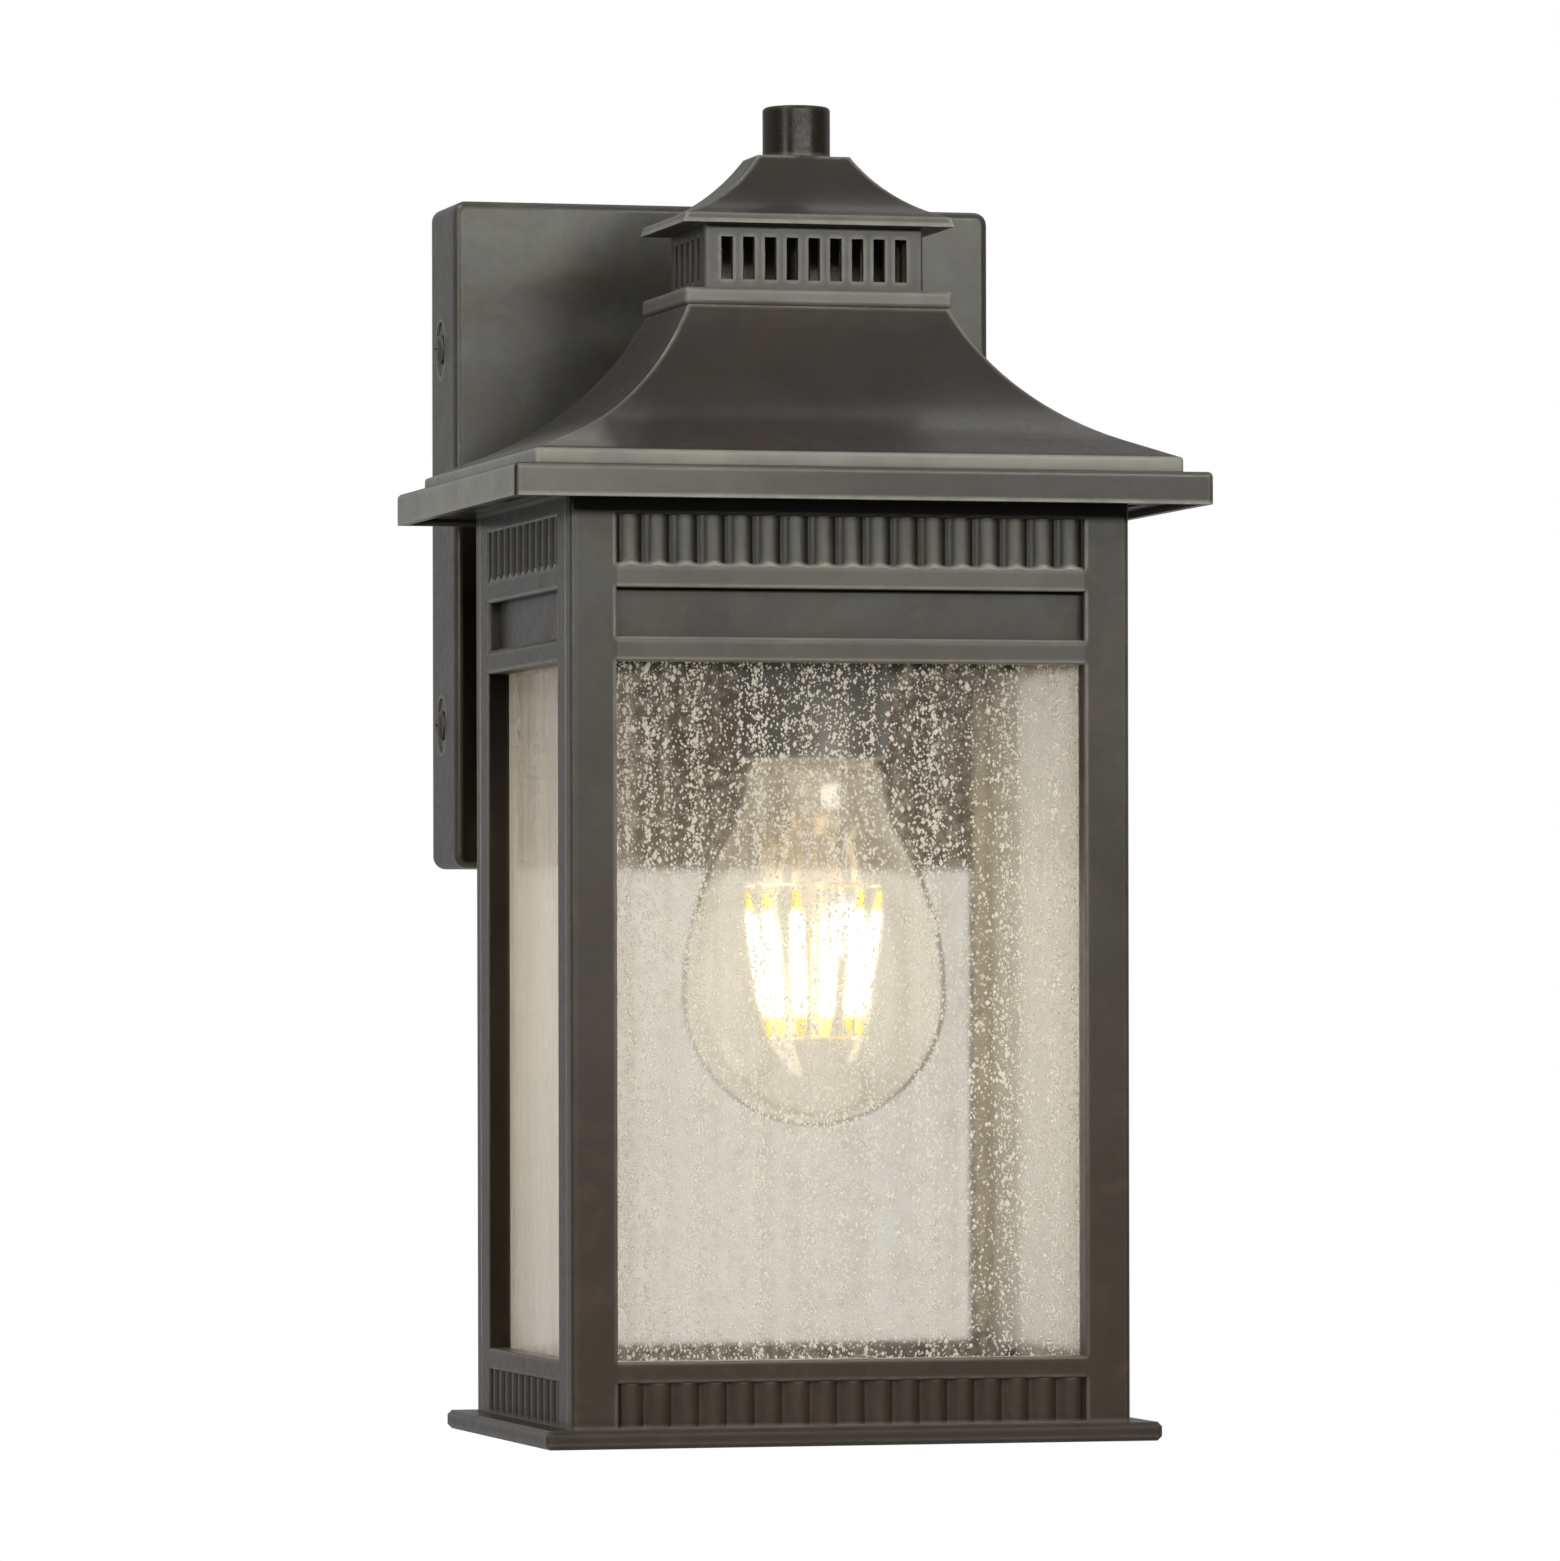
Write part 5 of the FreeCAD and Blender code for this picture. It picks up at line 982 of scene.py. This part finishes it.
@dataclass
class Lamp:
    """The filament lamp: blown glass, lit bars on their wires and a threaded cap."""

    axis: Triple = (3.5 * MM, AXIS_Y, 0.0)
    bars: int = 6
    bar_rings: int = 24
    bar_around: int = 14
    bar_top: float = -83.6 * MM
    bar_foot: float = -116.6 * MM
    top_spread: float = 15.6 * MM
    foot_spread: float = 10.4 * MM
    bar_width: float = 1.3 * MM
    bar_depth: float = 1.0 * MM
    bar_rounding: int = 24
    bare_size: float = 0.85
    coat_size: float = 0.4
    cap_rim: float = -54.6 * MM
    cap_shoulder: float = -33.2 * MM
    cap_radius: float = 13.1 * MM
    cap_rings: int = 90
    cap_around: int = 72
    thread_depth: float = 0.55 * MM
    thread_pitch: float = 3.63 * MM
    close: float = 0.6 * MM
    power: float = 0.14
    glow_radius: float = 8.0 * MM
    warmth: Colour = (1.0, 0.80, 0.55)

    def shine(self) -> None:
        """Puts a small warm light among the bars for the light that they give."""
        lamp = bpy.data.lights.new("lamp_shine", "POINT")
        lamp.energy, lamp.color, lamp.shadow_soft_size = self.power, self.warmth, self.glow_radius
        stand = bpy.data.objects.new("lamp_shine", lamp)
        stand.location = (*self.axis[:2], (self.bar_top + self.bar_foot) / 2.0)
        stand.visible_camera = stand.visible_glossy = stand.visible_transmission = False
        bpy.context.scene.collection.objects.link(stand)

    def light_bars(self) -> None:
        """Makes the bars: a rounded section carried along a straight line that leans in towards the foot.

        The section's half width at share t of the length is the full one times the fourth root of
        1 - (2 t - 1) to the 24th, so the ends are rounded off, and the coated middle is thicker.
        """
        share = np.linspace(0.002, 0.998, self.bar_rings)[:, None]
        size = (1.0 - np.abs(2.0 * share - 1.0) ** self.bar_rounding) ** 0.25
        size = size * (self.bare_size + self.coat_size * ramp(share, 0.1, 0.12) * ramp(share, 0.9, -0.12))
        rings = stack(share, size, self.bar_around)
        rings[..., 0] *= self.bar_depth
        rings[..., 1] *= self.bar_width
        rings[..., 0] += self.foot_spread + (self.top_spread - self.foot_spread) * share
        rings[..., 2] = self.bar_foot + (self.bar_top - self.bar_foot) * share
        shape = closed_turning(rings)
        turns = np.array([np.array(Matrix.Rotation(angle, 3, "Z")) for angle in angles(self.bars)[0]])
        faces = ring_faces(self.bar_rings, self.bar_around)
        points, faces = copies(shape, faces, np.tile(self.axis, (self.bars, 1)), turns)
        make_piece("light_bars", points, faces, LIT_BAR, "lamp", ("filaments",))

    def threaded_cap(self) -> None:
        """Makes the cap: the radius waves with the level and the angle, so that its crests run as one helix.

        The thread fades out at the rim and at the shoulder, where the wall turns in.
        """
        share = np.linspace(0.0, 1.0, self.cap_rings)[:, None]
        turn = angles(self.cap_around)
        level = self.cap_rim + (self.cap_shoulder - self.cap_rim) * share
        fade = ramp(share, 0.12, 0.08) * ramp(share, 0.9, -0.08)
        wave = 0.5 - 0.5 * np.cos(2.0 * math.pi * level / self.thread_pitch - turn)
        close = self.close * ramp(share, 0.93, 0.07) ** 2
        radius = self.cap_radius - self.thread_depth * wave * fade - close
        points = closed_turning(stack(level, radius, self.cap_around) + np.array(self.axis))
        faces = ring_faces(self.cap_rings, self.cap_around)
        make_piece("threaded_cap", points, faces, CAP_METAL, "lamp", ("lamp_cap",))

    def build(self) -> None:
        """Dresses the lamp's nodes and makes its bars and cap."""
        dress(BULB_CLEAR, "bulb_glass")
        dress(STEM_CLEAR, "bulb_stem")
        dress(CAP_METAL, "lamp_tip")
        dress(WARM_WIRE, "filament_wires")
        dress(BLACK_GLASS, "lamp_insulator")
        self.light_bars()
        self.threaded_cap()
        self.shine()


@dataclass
class Wiring:
    """The socket's insulation and metal, the leads through the arm and their twist connectors."""

    neck: Triple = (15.0 * MM, -11.5 * MM, -48.0 * MM)
    lead_across: float = 3.2 * MM
    lead_level: float = -14.0 * MM
    neck_radius: float = 3.2 * MM
    wide_radius: float = 5.6 * MM
    length: float = 19.0 * MM
    ribs: int = 16
    rib_depth: float = 0.35 * MM
    rib_points: int = 6
    cone_rings: int = 26
    tip_rings: int = 6
    round_from: float = 0.94

    def connectors(self) -> None:
        """Makes the connectors: cones with a rounded end and with ribs that fade at both ends."""
        around = self.ribs * self.rib_points
        tip = self.round_from + (1.0 - self.round_from) * np.sin(np.linspace(0.2, 1.5, self.tip_rings))
        share = np.concatenate([np.linspace(0.0, self.round_from, self.cone_rings), tip])[:, None]
        radius = self.neck_radius + (self.wide_radius - self.neck_radius) * share
        rounding = np.sqrt(np.clip(1.0 - ((share - self.round_from) / 0.062) ** 2, 0.02, 1.0)) * 0.16 + 0.84
        radius = radius * np.where(share > self.round_from, rounding, 1.0)
        fade = ramp(share, 0.22, 0.08) * ramp(share, 0.92, -0.06)
        radius = radius - self.rib_depth * fade * (0.5 - 0.5 * np.cos(self.ribs * angles(around))) ** 2
        shape = closed_turning(stack(share * self.length, radius, around))
        places = np.array([(side * self.neck[0], self.neck[1], self.neck[2]) for side in (-1.0, 1.0)])
        fall = self.neck[2] - self.lead_level
        turns = np.array([facing((side * (self.neck[0] - self.lead_across), 0.0, fall)) for side in (-1.0, 1.0)])
        points, faces = copies(shape, ring_faces(len(share), around), places, turns)
        make_piece("twist_connectors", points, faces, NUT_PLASTIC, "lantern", ("wire_connectors",))

    def build(self) -> None:
        """Dresses the nodes and makes the connectors."""
        dress(PORCELAIN, "socket_body")
        dress(BRASS, "screw_shell", "socket_contact", "terminal_posts")
        dress(BLACK_WIRE, "black_lead")
        dress(WHITE_WIRE, "white_lead")
        dress(COPPER, "ground_lead")
        self.connectors()
        dress(BUSHING_PLASTIC, "lead_bushing")


@dataclass(frozen=True)
class ScrewKind:
    """A pan head screw with a cross recess."""

    name: str
    node: str
    slot: str
    finish: Finish
    head_radius: float
    head_height: float
    shank_radius: float
    shank_length: float
    places: tuple[Triple, ...]
    axes: tuple[Triple, ...]


@dataclass
class Fasteners:
    """Screws that show, with domed heads and cross recesses."""

    around: int = 48
    dome_rings: int = 20
    rim_share: float = 0.34
    dome_drop: float = 0.62
    recess_share: float = 0.36
    recess_width: float = 0.1
    recess_depth: float = 0.62

    def screw_shape(self, kind: ScrewKind) -> np.ndarray:
        """Gives a screw standing on its head's seat at z = 0, with the head upward.

        Rings run from the shank's tip to the middle of the head. On the head the level is a dome
        that falls with the fourth power of the radius, less the recess: a smooth step across the
        distance to the nearer arm of a cross, deepest at the middle.

        Args:
            kind: The screw's sizes.

        Returns:
            The points.
        """
        turn = angles(self.around)
        tip = np.array([0.55, 1.0, 1.0, 1.0])[:, None] * kind.shank_radius
        tip_level = np.array([-1.0, -0.94, -0.5, 0.0])[:, None] * kind.shank_length
        seat = np.array([1.0, 1.0])[:, None] * kind.head_radius
        seat_level = np.array([0.0, self.rim_share])[:, None] * kind.head_height
        share = np.linspace(0.985, 0.03, self.dome_rings)[:, None]
        dome = kind.head_height * (1.0 - self.dome_drop * share ** 4)
        arm = np.minimum(np.abs(np.sin(turn)), np.abs(np.cos(turn))) * share
        inside = ramp(arm, self.recess_width, -0.06) * ramp(share, self.recess_share, -0.08)
        level = dome - self.recess_depth * kind.head_height * inside * (1.0 - 0.55 * share)
        parts = tip_level, seat_level, level
        levels = np.concatenate([np.broadcast_to(part, (len(part), self.around)) for part in parts])
        radii = np.concatenate([tip, seat, share * kind.head_radius])
        return closed_turning(stack(levels, radii, self.around))

    def place(self, kind: ScrewKind) -> None:
        """Makes all screws of a kind as one piece.

        Args:
            kind: The screws.
        """
        shape = self.screw_shape(kind)
        rings = (len(shape) - 2) // self.around
        turns = np.array([facing(axis) for axis in kind.axes])
        points, faces = copies(shape, ring_faces(rings, self.around), np.array(kind.places), turns)
        make_piece(kind.name, points, faces, kind.finish, "lantern", (kind.node,))

    def build(self) -> None:
        """Makes the screws in the plate's sides, the ground screw and the screws under the base."""
        sides = [(side, level) for side in (-1.0, 1.0) for level in (-1.0, 1.0)]
        plate = ScrewKind(
            "side_screws", "plate_screws", "bronze", SCREW_BRONZE, 3.4 * MM, 1.6 * MM, 2.0 * MM, 4.5 * MM,
            tuple((side * 64.0 * MM, -9.0 * MM, level * 44.0 * MM) for side, level in sides),
            tuple((side, 0.0, 0.0) for side, _ in sides))
        ground = ScrewKind(
            "earth_screw", "ground_screw", "green_steel", GREEN_PAINT, 3.6 * MM, 2.0 * MM, 1.9 * MM, 1.5 * MM,
            ((34.0 * MM, -1.5 * MM, -36.0 * MM),), ((0.0, -1.0, 0.0),))
        under = [(side * across, reach) for side in (-1.0, 1.0)
                 for across, reach in ((60.0, -136.0), (60.0, -46.0), (61.5, -129.5), (61.5, -52.5))]
        base = ScrewKind(
            "foot_screws", "base_screws", "zinc_steel", ZINC, 2.7 * MM, 1.5 * MM, 1.25 * MM, 10.6 * MM,
            tuple((across * MM, reach * MM, -205.15 * MM) for across, reach in under),
            ((0.0, 0.0, -1.0),) * len(under))
        for kind in (plate, ground, base):
            self.place(kind)


# Studio


@dataclass(frozen=True)
class Softbox:
    """A square light with a soft edge that the camera doesn't see."""

    name: str
    place: Triple
    aim: Triple
    width: float
    height: float
    radiance: float
    tone: Colour = (1.0, 1.0, 1.0)
    only_in_glass: bool = False

    def build(self) -> None:
        """Makes the light; its power is the radiance times its area times pi."""
        lamp = bpy.data.lights.new(self.name, "AREA")
        lamp.shape = "RECTANGLE"
        lamp.size, lamp.size_y = self.width, self.height
        lamp.energy = self.radiance * math.pi * self.width * self.height
        lamp.color = self.tone
        stand = bpy.data.objects.new(self.name, lamp)
        bpy.context.scene.collection.objects.link(stand)
        toward = Vector(self.aim) - Vector(self.place)
        stand.matrix_world = Matrix.Translation(self.place) @ toward.to_track_quat("-Z", "Y").to_matrix().to_4x4()
        stand.visible_camera = False
        stand.visible_transmission = self.only_in_glass
        stand.visible_diffuse = stand.visible_glossy = not self.only_in_glass


@dataclass
class Studio:
    """A pale floor far below, soft light and a camera in front of the lantern, a little to its left."""

    floor_level: float = -1.5
    floor_half: float = 4.0
    floor_lines: int = 9
    bounces: int = 24
    ambient: float = 0.2
    through_glass: float = 0.75
    backdrop: float = 0.38
    high_backdrop: float = 0.28
    front: float = 0.1
    high_front: float = 0.3
    lens: float = 191.745
    shift_up: float = 0.1393
    stand: Triple = (-0.4833, -1.9107, -0.1079)
    right: Triple = (0.9671, -0.2546, 0.0)
    roll: float = 0.0022

    def camera(self) -> None:
        """Sets up the camera: level, rolled by a hair, with the lens shifted up."""
        lens = bpy.data.cameras.new("camera")
        lens.lens = self.lens
        lens.sensor_width = 36.0
        lens.shift_y = self.shift_up
        seen = bpy.data.objects.new("camera", lens)
        bpy.context.scene.collection.objects.link(seen)
        right, up = Vector(self.right).normalized(), Vector((0.0, 0.0, 1.0))
        ahead = up.cross(right)
        tilted = right * math.cos(self.roll) - up * math.sin(self.roll)
        raised = up * math.cos(self.roll) + right * math.sin(self.roll)
        turn = Matrix((tilted, raised, -ahead)).transposed()
        seen.matrix_world = Matrix.Translation(self.stand) @ turn.to_4x4()
        bpy.context.scene.camera = seen

    def floor(self) -> None:
        """Lays the floor: a grid whose height is level everywhere."""
        line = np.linspace(-self.floor_half, self.floor_half, self.floor_lines)
        x, y = np.meshgrid(line, line, indexing="ij")
        points = np.stack([x, y, np.full_like(x, self.floor_level)], -1).reshape(-1, 3)
        step = np.arange(self.floor_lines - 1)
        row = (step[:, None] * self.floor_lines + step[None, :]).reshape(-1)
        quads = np.stack([row, row + self.floor_lines, row + self.floor_lines + 1, row + 1], -1)
        mesh = bpy.data.meshes.new("floor")
        mesh.from_pydata(points.tolist(), [], quads.tolist())
        mesh.materials.append(MouldedSkin("pale_floor", (0.80, 0.79, 0.77), (0.76, 0.75, 0.73), 0.7, 0.1).material())
        ground = bpy.data.objects.new("floor", mesh)
        bpy.context.scene.collection.objects.link(ground)

    def surroundings(self) -> None:
        """Sets up the world: white to the camera and through glass; gloss sees a pale rear and a dim front."""
        world = bpy.data.worlds.new("studio")
        world.use_nodes = True
        world.node_tree.nodes.clear()
        graph = Graph(world.node_tree)
        path = graph.add("LightPath").outputs
        way = graph.add("SeparateXYZ", {"Vector": graph.add("TexCoord").outputs["Generated"]}).outputs
        behind = graph.spread(way["Y"], -0.1, 0.35)
        ahead = graph.spread(way["Z"], 0.35, 0.75, self.front, self.high_front)
        rear = graph.spread(way["Z"], 0.2, 0.7, self.backdrop, self.high_backdrop)
        gloss = graph.plus(graph.times(behind, rear), graph.calc("SUBTRACT", 1.0, behind), ahead)
        clear = graph.calc("MAXIMUM", path["Is Camera Ray"], path["Is Transmission Ray"])
        deep = graph.spread(path["Transmission Depth"], 0.4, 0.6, self.ambient, self.through_glass)
        seen = graph.times(path["Is Glossy Ray"], gloss)
        dim = graph.times(graph.calc("SUBTRACT", 1.0, path["Is Glossy Ray"]), deep)
        level = graph.calc("MAXIMUM", clear, graph.calc("ADD", seen, dim))
        back = graph.add("Background", {"Color": (1.0, 1.0, 1.0), "Strength": level})
        graph.add("OutputWorld", {"Surface": back.outputs["Background"]})
        bpy.context.scene.world = world

    def build(self) -> None:
        """Sets up the camera, the floor, the world and the lights."""
        self.camera()
        self.floor()
        self.surroundings()
        middle = (0.0, -0.09, -0.02)
        Softbox("front_strip", (0.15, -1.75, 0.33), middle, 2.0, 0.17, 12.0, (1.0, 0.995, 0.92)).build()
        Softbox("key_box", (0.42, -1.08, 0.58), middle, 0.32, 0.32, 8.0, (1.0, 0.995, 0.93)).build()
        Softbox("glint_box", (0.245, -1.09, 0.355), (0.0, -0.11, -0.08), 0.55, 0.40, 110.0, only_in_glass=True).build()
        Softbox("left_box", (-0.95, -0.55, 1.25), middle, 0.7, 0.7, 4.5, (1.0, 1.0, 0.95)).build()
        Softbox("side_box", (-1.3, -1.05, 0.15), middle, 0.4, 0.3, 8.0, (1.0, 0.99, 0.93)).build()
        Softbox("rear_box", (0.42, 0.28, 0.92), (0.03, -0.12, 0.02), 0.4, 0.4, 1.2).build()
        scene = bpy.context.scene
        scene.view_settings.view_transform = "Standard"
        for kind in ("max_bounces", "transmission_bounces", "transparent_max_bounces"):
            setattr(scene.cycles, kind, self.bounces)


def main() -> None:
    """Builds the studio and each sub-assembly in order and reports the pieces."""
    logging.basicConfig(level=logging.INFO, format="%(name)s %(message)s")
    for part in (Studio(), Housing(), ReedToes(), Glazing(), Lamp(), Wiring(), Fasteners()):
        part.build()
        log.info("%s done", type(part).__name__)


if __name__ == "__main__":
    main()
